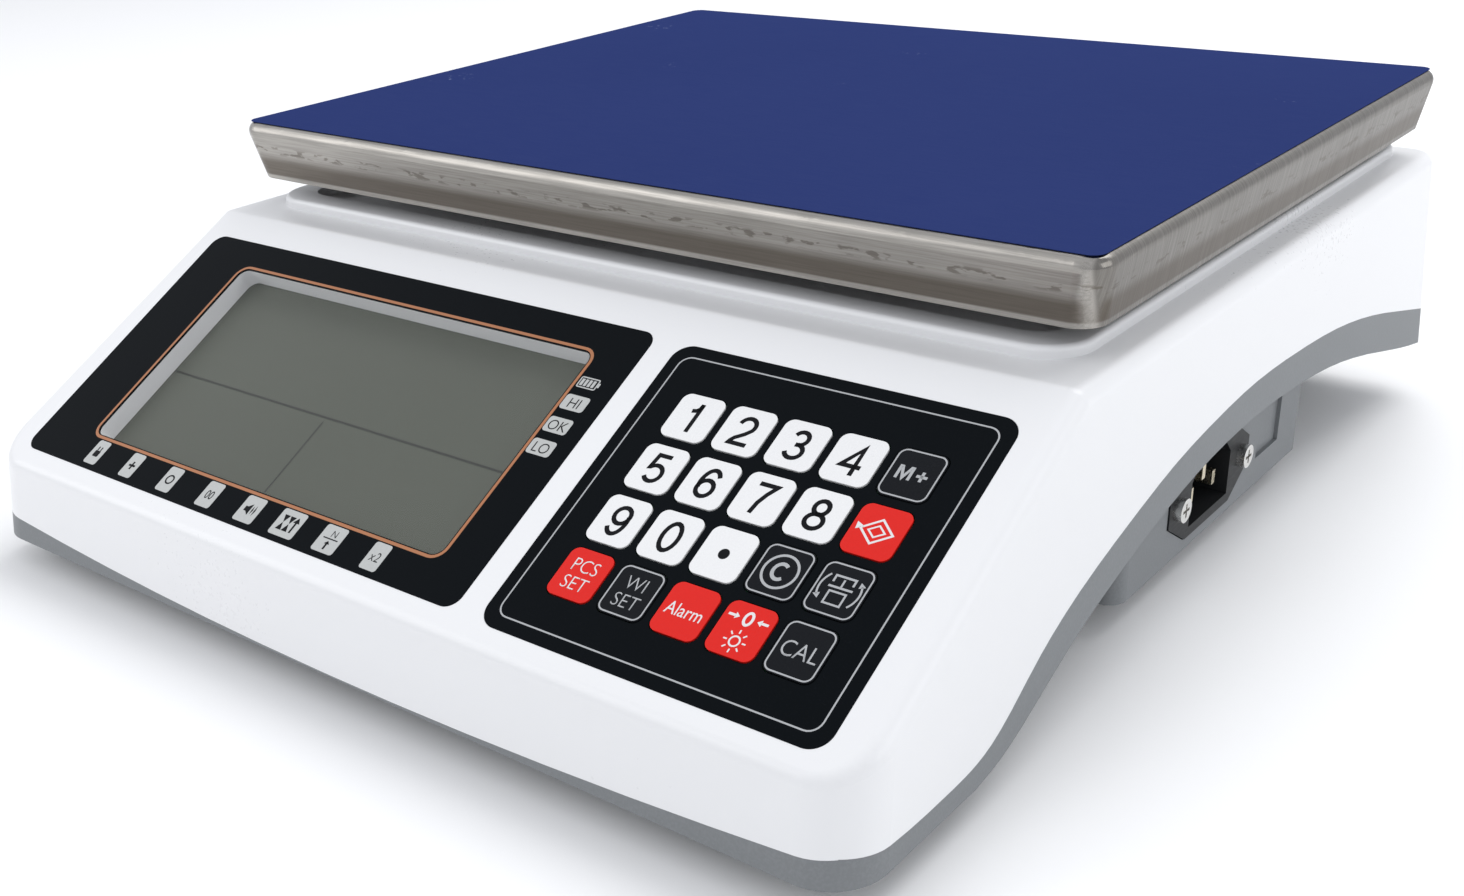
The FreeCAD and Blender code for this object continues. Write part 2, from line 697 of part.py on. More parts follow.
inset = d.board_screw_in
for k, x in enumerate((d.main_x0 + inset, d.main_x1 - inset)):
    for j, y in enumerate((d.main_y0 + inset, d.main_y1 - inset)):
        bosses.append(rod("main_post_%d%d" % (k, j), x, y, floor_z - 0.5,
                          d.board_post, d.main_z - floor_z + 0.5))
for k, x in enumerate((d.power_x0 + inset, d.power_x1 - inset)):
    for j, y in enumerate((d.power_y0 + inset, d.power_y1 - inset)):
        bosses.append(rod("power_post_%d%d" % (k, j), x, y, floor_z - 0.5,
                          d.board_post, d.power_lift + 0.5))

# wall openings: inlet, blanked recess, power switch


def inlet_plate(name, grow, x0, x1):
    """The inlet's flange outline, with tapered screw ears."""
    y, z = d.inlet_y, d.inlet_z
    long, tall = d.inlet_long / 2 + grow, d.inlet_tall / 2 + grow
    return prism(name, "YZ_Plane", [
        (y - long, z - tall * 0.36), (y - long * 0.56, z - tall),
        (y + long * 0.56, z - tall), (y + long, z - tall * 0.36),
        (y + long, z + tall * 0.36), (y + long * 0.56, z + tall),
        (y - long * 0.56, z + tall), (y - long, z + tall * 0.36)],
        x0, x1)


bosses.append(box("inlet_seat", d.tub_half - 7, d.tub_half - 0.5,
                  d.inlet_y - d.inlet_long / 2 - 3,
                  d.inlet_y + d.inlet_long / 2 + 3, floor_z - 0.5,
                  d.inlet_z + d.inlet_tall / 2 + 3))
drills.append(inlet_plate("inlet_sink", 0.2,
                          d.tub_half - d.inlet_flange + d.inlet_proud,
                          d.tub_half + 5))
drills.append(box("inlet_window", d.tub_half - 12, d.tub_half + 6,
                  d.inlet_y - d.inlet_body_long / 2 - 0.3,
                  d.inlet_y + d.inlet_body_long / 2 + 0.3,
                  d.inlet_z - d.inlet_body_tall / 2 - 0.3,
                  d.inlet_z + d.inlet_body_tall / 2 + 0.3))
for k in (-1, 1):
    drills.append(rod("inlet_pilot_%d" % (k + 1), d.tub_half - 8,
                      d.inlet_y + k * d.inlet_screws / 2, d.inlet_z,
                      d.screw_half, 14, "x"))
drills.append(box("blank_recess", d.tub_half - d.blank_deep,
                  d.tub_half + 4, d.blank_y0, d.blank_y1, d.blank_z0,
                  d.blank_z1))
drills.append(box("switch_window",
                  d.switch_x - d.switch_body_wide / 2 - 0.2,
                  d.switch_x + d.switch_body_wide / 2 + 0.2,
                  d.switch_y - d.switch_body_long / 2 - 0.2,
                  d.switch_y + d.switch_body_long / 2 + 0.2,
                  d.foot_lift - 1, floor_z + 2))

boss_stock = common("bottom_bosses", fuse("bottom_boss_rods", bosses),
                    cut("boss_space", outer, [recess]))
bottom = fuse("bottom_joined", [shell, boss_stock])
bottom = cut("bottom_housing_body", bottom, drills)
keep(bottom, "bottom_housing")

# housing screws, pan-headed, driven up through the base
screws = []
for n, (x, y) in enumerate(post_places):
    for side in (-1, 1):
        tag = "%d%s" % (n, "l" if side < 0 else "r")
        shank = rod("shank_" + tag, side * x, y, d.screw_sink - 0.01,
                    d.screw_half, d.screw_long)
        head = rod("head_" + tag, side * x, y,
                   d.screw_sink - d.screw_head_high, d.screw_head,
                   d.screw_head_high)
        screws.append(fuse("screw_" + tag, [shank, head]))
keep(fuse("housing_screw_set", screws), "housing_screws")

# battery cover, set flush into the floor: two tongues hook over the
# rear edge of the battery port and a sprung latch holds the front edge
gap = d.cover_gap
cover = slab("battery_cover_body", d.battery_x0 - d.cover_lap + gap,
             bat_x1 + d.cover_lap - gap, d.battery_y0 - d.cover_lap + gap,
             bat_y1 + d.cover_lap - gap, d.foot_lift,
             d.foot_lift + d.cover_thick, size(1.5))
cover_top = d.foot_lift + d.cover_thick
hook_z = floor_z + gap
hooks = []
for k, x in enumerate((d.battery_x0 + 2, bat_x1 - 2 - d.hook_wide)):
    hooks.append(box("cover_neck_%d" % k, x, x + d.hook_wide,
                     bat_y1 + 0.2, bat_y1 + 0.2 + d.hook_thick,
                     cover_top - 0.5, hook_z + d.hook_thick))
    hooks.append(box("cover_hook_%d" % k, x, x + d.hook_wide,
                     bat_y1 + 0.2, bat_y1 + d.slot_gap + d.hook_reach,
                     hook_z, hook_z + d.hook_thick))
x = (d.battery_x0 + bat_x1) / 2
hooks.append(box("cover_latch", x - d.hook_wide, x + d.hook_wide,
                 d.battery_y0 - 0.2 - d.hook_thick, d.battery_y0 - 0.2,
                 cover_top - 0.5, hook_z + d.hook_thick))
hooks.append(box("cover_latch_nose", x - d.hook_wide, x + d.hook_wide,
                 d.battery_y0 - d.slot_gap - d.latch_reach,
                 d.battery_y0 - 0.2, hook_z, hook_z + d.hook_thick))
keep(fuse("battery_cover_joined", [cover] + hooks), "battery_cover")

battery_top = cover_top + d.battery_high
case = slab("battery_case", d.battery_x0, bat_x1, d.battery_y0, bat_y1,
            cover_top, battery_top, size(2.0))
tabs = [box("battery_tab_%d" % k, bat_x1 - 12 - k * 14,
            bat_x1 - 5 - k * 14, bat_y1 - 16, bat_y1 - 10,
            battery_top - 0.5, battery_top + 5)
        for k in (0, 1)]
keep(fuse("battery_joined", [case] + tabs), "battery")

# ------------------------------------------------------- pan and its film

pan_y0 = d.pan_mid_y - d.pan_deep / 2
pan_y1 = d.pan_mid_y + d.pan_deep / 2
pan_low = pan_top - d.pan_skirt


def dish(name, inset, low, high, corner, bend):
    """A rounded block whose sides draw in towards its lower rim."""
    grow = trig("tan", d.pan_draw_in) * (high - pan_top)
    half_x = d.pan_wide / 2 - inset + grow
    half_y = d.pan_deep / 2 - inset + grow
    body = doc.addObject("PartDesign::Body", name)
    sketch = sketch_on(body, name + "_outline", "XY_Plane", high)
    polygon(sketch, corners(-half_x, half_x, d.pan_mid_y - half_y,
                            d.pan_mid_y + half_y))
    feature = pad(body, name + "_pad", sketch, high - low)
    feature.Reversed = True
    feature.TaperAngle = -d.pan_draw_in.value
    bind(feature, "TaperAngle", -d.pan_draw_in)

    def leaning(edge):
        a, b = ends(edge)
        return abs(a.z - b.z) > 1

    soften(body, name + "_corner", leaning, corner)
    soften(body, name + "_bend", at_level(high.value), bend)
    return body


t = d.pan_sheet
pan_out = dish("pan_outside", 0, pan_low, pan_top, d.pan_corner,
               d.pan_bend)
pan_in = dish("pan_inside", t / trig("cos", d.pan_draw_in), pan_low - 2,
              pan_top - t, d.pan_corner - t, d.pan_bend - t)
keep(cut("pan_body", pan_out, [pan_in]), "pan")

fi = d.film_inset
keep(slab("film_sheet", -d.pan_wide / 2 + fi, d.pan_wide / 2 - fi,
          pan_y0 + fi, pan_y1 - fi, pan_top, pan_top + d.film_thick,
          d.film_corner), "pan_film")

# ------------------------------------------- platform spider and its pads

spider_top = spider_low + d.spider_thick
pad_top = pan_top - t
bars = [slab("spider_hub_plate", -d.spider_hub, d.spider_hub,
             column_y - 22, d.pan_mid_y + 40, spider_low, spider_top,
             size(8))]
for k in (-1, 1):
    y = d.pan_mid_y + k * d.pan_pad_y
    bars.append(slab("spider_bar_%d" % (k + 1),
                     -d.pan_pad_x - d.arm_wide / 2,
                     d.pan_pad_x + d.arm_wide / 2, y - d.arm_wide / 2,
                     y + d.arm_wide / 2, spider_low, spider_top,
                     size(6)))
    x = k * (d.spider_hub - d.arm_wide / 2)
    bars.append(box("spider_rail_%d" % (k + 1), x - d.arm_wide / 2,
                    x + d.arm_wide / 2, d.pan_mid_y - d.pan_pad_y,
                    d.pan_mid_y + d.pan_pad_y, spider_low, spider_top))
peg_holes = []
for k, (sx, sy) in enumerate(((-1, -1), (1, -1), (-1, 1), (1, 1))):
    peg_holes.append(rod("peg_hole_%d" % k, sx * d.pan_pad_x,
                         d.pan_mid_y + sy * d.pan_pad_y, spider_low - 1,
                         d.pad_peg, d.spider_thick + 2))
sunk_z = spider_top - 4.5
for k in (0, 1):
    y = column_y + (k - 0.5) * d.bolt_step
    peg_holes.append(rod("spider_bolt_bore_%d" % k, 0, y,
                         spider_low - 1, d.bolt_half, 20))
    peg_holes.append(rod("spider_bolt_sink_%d" % k, 0, y, sunk_z,
                         d.bolt_head + 0.3, 12))
keep(cut("spider_body", fuse("spider_blank", bars), peg_holes),
     "pan_support")

rubber = []
for k, (sx, sy) in enumerate(((-1, -1), (1, -1), (-1, 1), (1, 1))):
    x, y = sx * d.pan_pad_x, d.pan_mid_y + sy * d.pan_pad_y
    rubber.append(fuse("pan_pad_%d" % k, [
        rod("pan_pad_disc_%d" % k, x, y, spider_top, d.pan_pad_half,
            pad_top - spider_top),
        rod("pan_pad_peg_%d" % k, x, y, spider_low, d.pad_peg,
            d.spider_thick + 1)]))
keep(fuse("pan_pad_set", rubber), "pan_pads")

# ------------------------------------------------------------ load cell

cell_z1 = cell_z0 + d.cell_high
cell_bar = box("cell_bar", -d.cell_wide / 2, d.cell_wide / 2, d.cell_y0,
               cell_y1, cell_z0, cell_z1)
mid = (d.cell_y0 + cell_y1) / 2
cell_mid_z = cell_z0 + d.cell_high / 2
bores = [rod("cell_bore_%d" % (k + 1), -d.cell_wide / 2 - 1,
             mid + k * 11, cell_mid_z, 6.5, d.cell_wide + 2, "x")
         for k in (-1, 1)]
bores.append(box("cell_slot", -d.cell_wide / 2 - 1, d.cell_wide / 2 + 1,
                 mid - 11, mid + 11, cell_mid_z - 3, cell_mid_z + 3))
for k in (0, 1):
    step = (k - 0.5) * d.bolt_step
    bores.append(rod("cell_free_bore_%d" % k, 0, column_y + step,
                     cell_z0 - 1, d.bolt_half, d.cell_high + 2))
    bores.append(rod("cell_fixed_bore_%d" % k, 0,
                     cell_y1 - d.block_long / 2 + step, cell_z0 - 1,
                     d.bolt_half, d.cell_high + 2))
keep(cut("load_cell_body", cell_bar, bores), "load_cell")

base_block = box("base_block", -d.cell_wide / 2, d.cell_wide / 2,
                 cell_y1 - d.block_long, cell_y1, block_z0, cell_z0)
keep(cut("cell_base_body", base_block, [
    rod("base_bore_%d" % k, 0, cell_y1 - d.block_long / 2
        + (k - 0.5) * d.bolt_step, block_z0 - 1, d.bolt_half,
        d.block_low + 2) for k in (0, 1)]), "cell_base_block")

column = box("column", -d.cell_wide / 2, d.cell_wide / 2, d.cell_y0,
             d.cell_y0 + d.block_long, cell_z1, spider_low)
keep(cut("column_body", column, [
    rod("column_bore_%d" % k, 0, column_y + (k - 0.5) * d.bolt_step,
        cell_z1 - 1, d.bolt_half, 50) for k in (0, 1)]),
    "platform_column")


def bolt(name, x, y, z_head, z_tip, up):
    """A socket-head cap screw; up is the way its tip points."""
    low, high = (z_head, z_tip) if up else (z_tip, z_head)
    shank = rod(name + "_shank", x, y, low, d.bolt_half,
                size(high) - size(low))
    top_z = z_head - d.bolt_head_high if up else z_head
    head = rod(name + "_head", x, y, top_z, d.bolt_head - 0.2,
               d.bolt_head_high)
    key_z = top_z - 1 if up else z_head + d.bolt_head_high - 3
    socket = hexagon(name + "_socket", x, y, key_z, key_z + 4,
                     d.bolt_half * 0.8)
    return cut(name, fuse(name + "_blank", [shank, head]), [socket])


fixed = []
free = []
for k in (0, 1):
    step = (k - 0.5) * d.bolt_step
    fixed.append(bolt("fixed_bolt_%d" % k, 0,
                      cell_y1 - d.block_long / 2 + step, cell_z1,
                      d.foot_lift + 1.5, False))
    free_y = column_y + step
    shank = rod("free_shank_%d" % k, 0, free_y, cell_z0 + 6,
                d.bolt_half, sunk_z - cell_z0 - 6 + 0.5)
    head = rod("free_head_%d" % k, 0, free_y, sunk_z, d.bolt_head, 4)
    free.append(fuse("free_bolt_%d" % k, [shank, head]))
keep(fuse("fixed_bolt_set", fixed), "cell_bolts")
keep(fuse("free_bolt_set", free), "column_bolts")

stop_tip = cell_z0 - d.stop_gap
stop = fuse("stop_screw", [
    rod("stop_rod", 0, d.stop_y, d.foot_lift + 1.5, d.bolt_half,
        stop_tip - d.foot_lift - 1.5),
    rod("stop_flange", 0, d.stop_y, floor_z + 5, d.bolt_head,
        size(2.5))])
keep(stop, "overload_stop")

# -------------------------------------------------------- levelling feet

nuts = []
for n, (x, y) in enumerate(foot_places, 1):
    pad_disc = rod("pad_disc_%d" % n, x, y, 0, d.foot_half,
                   d.foot_high - 2)
    neck = doc.addObject("Part::Cone", "pad_neck_%d" % n)
    bind(neck, "Radius1", d.foot_half)
    bind(neck, "Radius2", d.foot_half - 3)
    bind(neck, "Height", 2)
    base_at(neck, x, y, d.foot_high - 2)
    socket = rod("pad_socket_%d" % n, x, y, d.foot_high - d.stud_embed,
                 d.stud_half + d.stud_fit, d.stud_embed + 1)
    keep(cut("foot_pad_body_%d" % n,
             fuse("pad_blank_%d" % n, [pad_disc, neck]), [socket]),
         "foot_pad_%d" % n)
    stud = rod("stud_rod_%d" % n, x, y, d.foot_high - d.stud_embed,
               d.stud_half, d.stud_top - d.foot_high + d.stud_embed)
    slot = box("stud_slot_%d" % n, x - 0.5, x + 0.5, y - 5, y + 5,
               d.stud_top - 1.5, d.stud_top + 1)
    keep(cut("stud_body_%d" % n, stud, [slot]), "foot_stud_%d" % n)
    bore = rod("nut_bore_%d" % n, x, y, nut_z - 1,
               d.stud_half + d.stud_fit, d.nut_high + 2)
    nuts.append(cut("nut_%d" % n, hexagon(
        "nut_blank_%d" % n, x, y, nut_z, nut_z + d.nut_high, d.nut_flat),
        [bore]))
keep(fuse("nut_set", nuts), "foot_nuts")

# ------------------------------------------------ display on the panel

face = d.overlay_thick - d.overlay_sink
lcd_cut = slab("lens_hole", d.win_u0, d.win_u1, d.win_v0, d.win_v1,
               -3, 3, d.win_corner)
lcd_sheet = slab("lcd_sheet", d.lcd_u0, d.lcd_u1, d.lcd_v0, d.lcd_v1,
                 -d.overlay_sink, face, d.lcd_corner)
keep(place_on_panel(cut("lcd_overlay_body", lcd_sheet, [lcd_cut])),
     "lcd_overlay")
lens = slab("lcd_lens_body", d.win_u0, d.win_u1, d.win_v0, d.win_v1,
            -d.overlay_sink, face, d.win_corner)
keep(place_on_panel(lens), "lcd_lens")

m = d.glass_margin
glass_z1 = -d.well_deep - d.stack_gap
glass_z0 = glass_z1 - d.glass_thick
glass = slab("lcd_glass_body", d.win_u0 - m, d.win_u1 + m, d.win_v0 - m,
             d.win_v1 + m, glass_z0, glass_z1, size(0.8))
keep(place_on_panel(glass), "lcd_glass")
light_z0 = glass_z0 - d.light_thick
light = slab("lcd_light_body", d.win_u0 - m, d.win_u1 + m, d.win_v0 - m,
             d.win_v1 + m, light_z0, glass_z0, size(0.8))
keep(place_on_panel(light), "lcd_backlight")
w = m + d.frame_wall
holder = slab("holder_block", d.win_u0 - w, d.win_u1 + w, d.win_v0 - w,
              d.win_v1 + w, light_z0, glass_z1, size(2))
holder_hole = slab("holder_hole", d.win_u0 - m, d.win_u1 + m,
                   d.win_v0 - m, d.win_v1 + m, light_z0 - 1, glass_z1 + 1,
                   size(0.8))
keep(place_on_panel(cut("holder_body", holder, [holder_hole])),
     "lcd_holder")
lcd_pcb = slab("lcd_pcb", d.win_u0 - w, d.win_u1 + w, d.win_v0 - w,
               d.win_v1 + w, light_z0 - d.board, light_z0, size(2))
chips = [box("lcd_chip_%d" % k, d.win_u0 + 30 + 40 * k,
             d.win_u0 + 44 + 40 * k, d.win_v0 + 25, d.win_v0 + 39,
             light_z0 - d.board - 2, light_z0 - d.board + 0.01)
         for k in (0, 1)]
keep(place_on_panel(fuse("lcd_board_body", [lcd_pcb] + chips)),
     "lcd_board")

# ---------------------------------------------------- keypad on the panel


def key_spot(row, column):
    return (d.key_u + column * d.key_pitch_u,
            d.key_v - row * d.key_pitch_v)


ways = []
g = d.key_gap
for row in range(4):
    for column in range(5):
        u, v = key_spot(row, column)
        ways.append(slab("key_way_%d%d" % (row, column), u - half_u - g,
                         u + half_u + g, v - half_v - g, v + half_v + g,
                         -3, 3, d.key_corner + g))
pad_sheet = slab("pad_sheet", d.pad_u0, d.pad_u1, d.pad_v0, d.pad_v1,
                 -d.overlay_sink, face, d.pad_corner)
keep(place_on_panel(cut("keypad_overlay_body", pad_sheet, ways)),
     "keypad_overlay")

circuit_z1 = -d.wall - d.stack_gap
circuit = slab("keypad_circuit_board", open_u0 - 2, open_u1 + 2,
               open_v0 - 2, open_v1 + 2, circuit_z1 - d.board, circuit_z1,
               size(1.5))

key_top = face + d.key_proud
cap_low = key_top - d.key_cap
dome_crest = circuit_z1 + d.dome_high
stem_low = dome_crest + d.key_travel + 0.02
domes = []
number = 0
for row in range(4):
    for column in range(5):
        number += 1
        tag = "%d%d" % (row, column)
        u, v = key_spot(row, column)
        dome = doc.addObject("Part::Cone", "dome_" + tag)
        bind(dome, "Radius1", d.dome_half)
        bind(dome, "Radius2", d.dome_top)
        bind(dome, "Height", d.dome_high)
        base_at(dome, u, v, circuit_z1 - 0.01)
        domes.append(dome)
        key = slab("key_body_" + tag, u - half_u, u + half_u, v - half_v,
                   v + half_v, cap_low, key_top, d.key_corner)
        stem = sketch_on(key, "stem_" + tag, "XY_Plane", stem_low)
        circle(stem, u, v, d.key_stem)
        pad(key, "stem_pad_" + tag, stem, cap_low + 0.2 - stem_low)
        keep(place_on_panel(key), "key_%02d" % number)
keep(place_on_panel(fuse("keypad_circuit_body", [circuit] + domes)),
     "keypad_circuit")

# ---------------------------------------------------------- electronics


def board_with(name, x0, x1, y0, y1, z, blocks):
    """A circuit board with its tallest components."""
    items = [slab(name + "_sheet", x0, x1, y0, y1, z, z + d.board,
                  size(1.5))]
    for k, (bx, by, long, deep, high) in enumerate(blocks):
        items.append(box("%s_block_%d" % (name, k), x0 + bx,
                         x0 + bx + long, y0 + by, y0 + by + deep,
                         z + d.board - 0.01, z + d.board + high))
    return fuse(name, items)


keep(board_with("main_board_body", d.main_x0, d.main_x1, d.main_y0,
                d.main_y1, d.main_z,
                [(48, 12, 14, 14, 1.8), (20, 14, 10, 8, 2.0),
                 (80, 10, 8, 18, 4.0), (98, 12, 9, 9, 5.0),
                 (10, 30, 30, 5, 5.0)]), "main_board")
keep(board_with("power_board_body", d.power_x0, d.power_x1,
                d.power_y0, d.power_y1, floor_z + d.power_lift,
                [(9, 11, 12, 12, 14.0), (28, 10, 10, 10, 18.0),
                 (10, 28, 30, 8, 10.0)]), "power_board")

tx, ty = d.trafo_x, d.trafo_y
core = box("trafo_core", tx - d.trafo_long / 2, tx + d.trafo_long / 2,
           ty - 9, ty + 9, floor_z + 2, floor_z + d.trafo_high)
coil = slab("trafo_coil", tx - d.trafo_long / 2 + 9,
            tx + d.trafo_long / 2 - 9, ty - d.trafo_deep / 2,
            ty + d.trafo_deep / 2, floor_z + 8,
            floor_z + d.trafo_high - 7, size(4))
strap = box("trafo_strap", tx - d.trafo_long / 2 - 9,
            tx + d.trafo_long / 2 + 9, ty - 9, ty + 9, floor_z,
            floor_z + 2)
ears = [rod("trafo_ear_%d" % (k + 1), tx + k * (d.trafo_long / 2 + 5), ty,
            floor_z - 1, 1.8, 5) for k in (-1, 1)]
keep(cut("trafo_body", fuse("trafo_blank", [core, coil, strap]), ears),
     "transformer")

# ------------------------------------------------------------ mains inlet

iy, iz = d.inlet_y, d.inlet_z
ix = d.tub_half - d.inlet_flange + d.inlet_proud
flange = inlet_plate("inlet_flange_body", 0, ix, ix + d.inlet_flange)
can = box("inlet_can", ix - d.inlet_body_deep, ix + 0.5,
          iy - d.inlet_body_long / 2, iy + d.inlet_body_long / 2,
          iz - d.inlet_body_tall / 2, iz + d.inlet_body_tall / 2)
cl, ct = d.inlet_cav_long / 2, d.inlet_cav_tall / 2
cham = size(4.2)
cavity = prism("inlet_cavity", "YZ_Plane", [
    (iy - cl, iz - ct), (iy + cl, iz - ct), (iy + cl, iz + ct - cham),
    (iy + cl - cham, iz + ct), (iy - cl + cham, iz + ct),
    (iy - cl, iz + ct - cham)],
    ix + d.inlet_flange - d.inlet_cav_deep, ix + d.inlet_flange + 1)
inlet_bores = [rod("inlet_bore_%d" % (k + 1), ix - 1,
                   iy + k * d.inlet_screws / 2, iz, d.screw_half, 8, "x")
               for k in (-1, 1)]
pin_x0 = ix - d.inlet_body_deep - 4
pin_x1 = ix + d.inlet_flange - d.inlet_cav_deep + d.pin_long
pins = []
slots = []
for k, (dy, dz) in enumerate(((-7.0, -2.0), (7.0, -2.0), (0.0, 2.0))):
    pins.append(box("inlet_pin_%d" % k, pin_x0, pin_x1, iy + dy - 1,
                    iy + dy + 1, iz + dz - 2, iz + dz + 2))
    slots.append(box("inlet_slot_%d" % k, pin_x0, pin_x1, iy + dy - 1,
                     iy + dy + 1, iz + dz - 2, iz + dz + 2))
keep(cut("inlet_body", fuse("inlet_blank", [flange, can]),
         [cavity] + inlet_bores + slots), "mains_inlet")
keep(fuse("inlet_pin_set", pins), "inlet_pins")

heads = []
for k in (-1, 1):
    y = iy + k * d.inlet_screws / 2
    head = rod("inlet_head_%d" % (k + 1), ix + d.inlet_flange, y, iz,
               d.inlet_head, d.inlet_head_high, "x")
    shank = rod("inlet_shank_%d" % (k + 1), ix - 6, y, iz, d.screw_half,
                d.inlet_flange + 6.5, "x")
    arms = [box("inlet_cross_%d%d" % (k + 1, a),
                ix + d.inlet_flange + d.inlet_head_high - 1,
                ix + d.inlet_flange + d.inlet_head_high + 1,
                y - (1.9 if a else 0.4), y + (1.9 if a else 0.4),
                iz - (0.4 if a else 1.9), iz + (0.4 if a else 1.9))
            for a in (0, 1)]
    heads.append(cut("inlet_screw_%d" % (k + 1), fuse(
        "inlet_screw_blank_%d" % (k + 1), [head, shank]), arms))
keep(fuse("inlet_screw_set", heads), "inlet_screws")

# ------------------------------------------------------------ power switch

sx, sy = d.switch_x, d.switch_y
bezel = slab("switch_bezel", sx - d.switch_wide / 2,
             sx + d.switch_wide / 2, sy - d.switch_long / 2,
             sy + d.switch_long / 2, d.foot_lift - d.switch_rim,
             d.foot_lift, size(1.5))
body = box("switch_box", sx - d.switch_body_wide / 2,
           sx + d.switch_body_wide / 2, sy - d.switch_body_long / 2,
           sy + d.switch_body_long / 2, d.foot_lift - 0.5,
           d.foot_lift + d.switch_body_high)
pivot_z = d.foot_lift + 1.5
swing = d.rocker_long / 2
room = box("switch_room", sx - d.rocker_wide / 2 - 0.3,
           sx + d.rocker_wide / 2 + 0.3, sy - swing - d.rocker_room,
           sy + swing + d.rocker_room, d.foot_lift - d.switch_rim - 1,
           d.foot_lift + 7)
axle_hole = rod("switch_axle_hole",
                sx - d.rocker_wide / 2 - 1.2, sy, pivot_z,
                d.rocker_pin + d.rocker_fit, d.rocker_wide + 2.4, "x")
keep(cut("switch_body", fuse("switch_blank", [bezel, body]),
         [room, axle_hole]), "power_switch")
low_r = d.foot_lift - d.switch_rim - pivot_z
paddle = prism("rocker_paddle", "YZ_Plane", [
    (-swing * 0.9, 2.5), (-swing, low_r - 0.6), (0, low_r + 1.2),
    (swing, low_r - 0.6), (swing * 0.9, 2.5), (0, 3.5)],
    -d.rocker_wide / 2, d.rocker_wide / 2)
axle = rod("rocker_axle", -d.rocker_wide / 2 - 1.0, 0, 0,
           d.rocker_pin, d.rocker_wide + 2.0, "x")
rocker = fuse("rocker_body", [paddle, axle])
rocker.Placement = FreeCAD.Placement(
    V(sx.value, sy.value, pivot_z.value),
    FreeCAD.Rotation(V(1, 0, 0), d.rocker_turn.value))
for prop, item in (("Base.x", sx), ("Base.y", sy), ("Base.z", pivot_z),
                   ("Rotation.Angle", d.rocker_turn)):
    bind(rocker, "Placement." + prop, item)
keep(rocker, "switch_rocker")

# ------------------------------------------------------- check and write

doc.recompute()
faults = [o.Name for o in doc.Objects
          if "Invalid" in o.State or "Error" in o.State]
for obj in parts:
    shape = obj.Shape
    if shape.isNull() or not shape.isValid():
        faults.append(obj.Label + " shape")
if faults:
    raise RuntimeError("failed: " + ", ".join(faults))
os.makedirs("parts", exist_ok=True)
for obj in parts:
    obj.Shape.exportStep("parts/%s.step" % obj.Label)
    print("%-18s solids %2d  volume %10.1f" % (
        obj.Label, len(obj.Shape.Solids), obj.Shape.Volume))
print(len(parts), "parts")
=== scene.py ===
import math

import bmesh
import bpy
from mathutils import Matrix, Vector


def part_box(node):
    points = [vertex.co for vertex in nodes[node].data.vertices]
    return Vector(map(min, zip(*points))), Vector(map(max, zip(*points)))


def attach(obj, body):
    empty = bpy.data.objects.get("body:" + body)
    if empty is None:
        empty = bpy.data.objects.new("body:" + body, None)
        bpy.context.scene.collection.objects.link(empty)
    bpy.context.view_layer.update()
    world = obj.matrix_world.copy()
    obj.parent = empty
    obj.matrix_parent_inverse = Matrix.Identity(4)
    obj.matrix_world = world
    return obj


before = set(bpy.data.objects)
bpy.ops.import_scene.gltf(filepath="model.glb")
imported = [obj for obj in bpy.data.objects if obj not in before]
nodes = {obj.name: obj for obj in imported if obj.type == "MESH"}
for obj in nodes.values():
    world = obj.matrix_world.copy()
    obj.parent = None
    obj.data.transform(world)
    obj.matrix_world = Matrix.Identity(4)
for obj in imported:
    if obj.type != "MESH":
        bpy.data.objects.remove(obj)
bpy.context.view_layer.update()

scene = bpy.context.scene
mm = 0.001

# ---------------------------------------------------------------- camera
# It stands to the operator's right, about half a metre from the keypad,
# and looks down over the panel and the pan with a slight roll.
azimuth, elevation, roll = (math.radians(a) for a in (39.096, 28.818, -2.841))
eye = Vector((278.74, -358.57, 202.10)) * mm
forward = Vector((-math.sin(azimuth) * math.cos(elevation),
                  math.cos(azimuth) * math.cos(elevation),
                  -math.sin(elevation)))
level = Vector((math.cos(azimuth), math.sin(azimuth), 0))
right = Matrix.Rotation(-roll, 3, forward) @ level
up = right.cross(forward)
camera_data = bpy.data.cameras.new("camera")
camera_data.sensor_width = 36
camera_data.lens = 39.34
camera_data.shift_y = 0.1038
camera_data.clip_start = 0.01
camera = bpy.data.objects.new("camera", camera_data)
scene.collection.objects.link(camera)
camera.matrix_world = Matrix.Translation(eye) @ Matrix(
    (right, up, -forward)).transposed().to_4x4()
scene.camera = camera

# ---------------------------------------------------- table and soft light
# A pale seamless table under three soft boxes: a broad one overhead and
# behind, one at the operator's left, and a weak one at the right.
scene.view_settings.view_transform = "Standard"
world = bpy.data.worlds.new("studio")
world.use_nodes = True
air = world.node_tree.nodes["Background"]
air.inputs["Color"].default_value = (0.93, 0.95, 1.0, 1)
air.inputs["Strength"].default_value = 0.82
scene.world = world

table_mesh = bpy.data.meshes.new("table")
bm = bmesh.new()
bmesh.ops.create_grid(bm, x_segments=1, y_segments=1, size=6)
bm.to_mesh(table_mesh)
bm.free()
table = bpy.data.objects.new("table", table_mesh)
scene.collection.objects.link(table)
table_paint = bpy.data.materials.new("table_paint")
table_paint.use_nodes = True
table_shader = table_paint.node_tree.nodes["Principled BSDF"]
table_shader.inputs["Base Color"].default_value = (0.90, 0.90, 0.90, 1)
table_shader.inputs["Roughness"].default_value = 0.7
table_mesh.materials.append(table_paint)


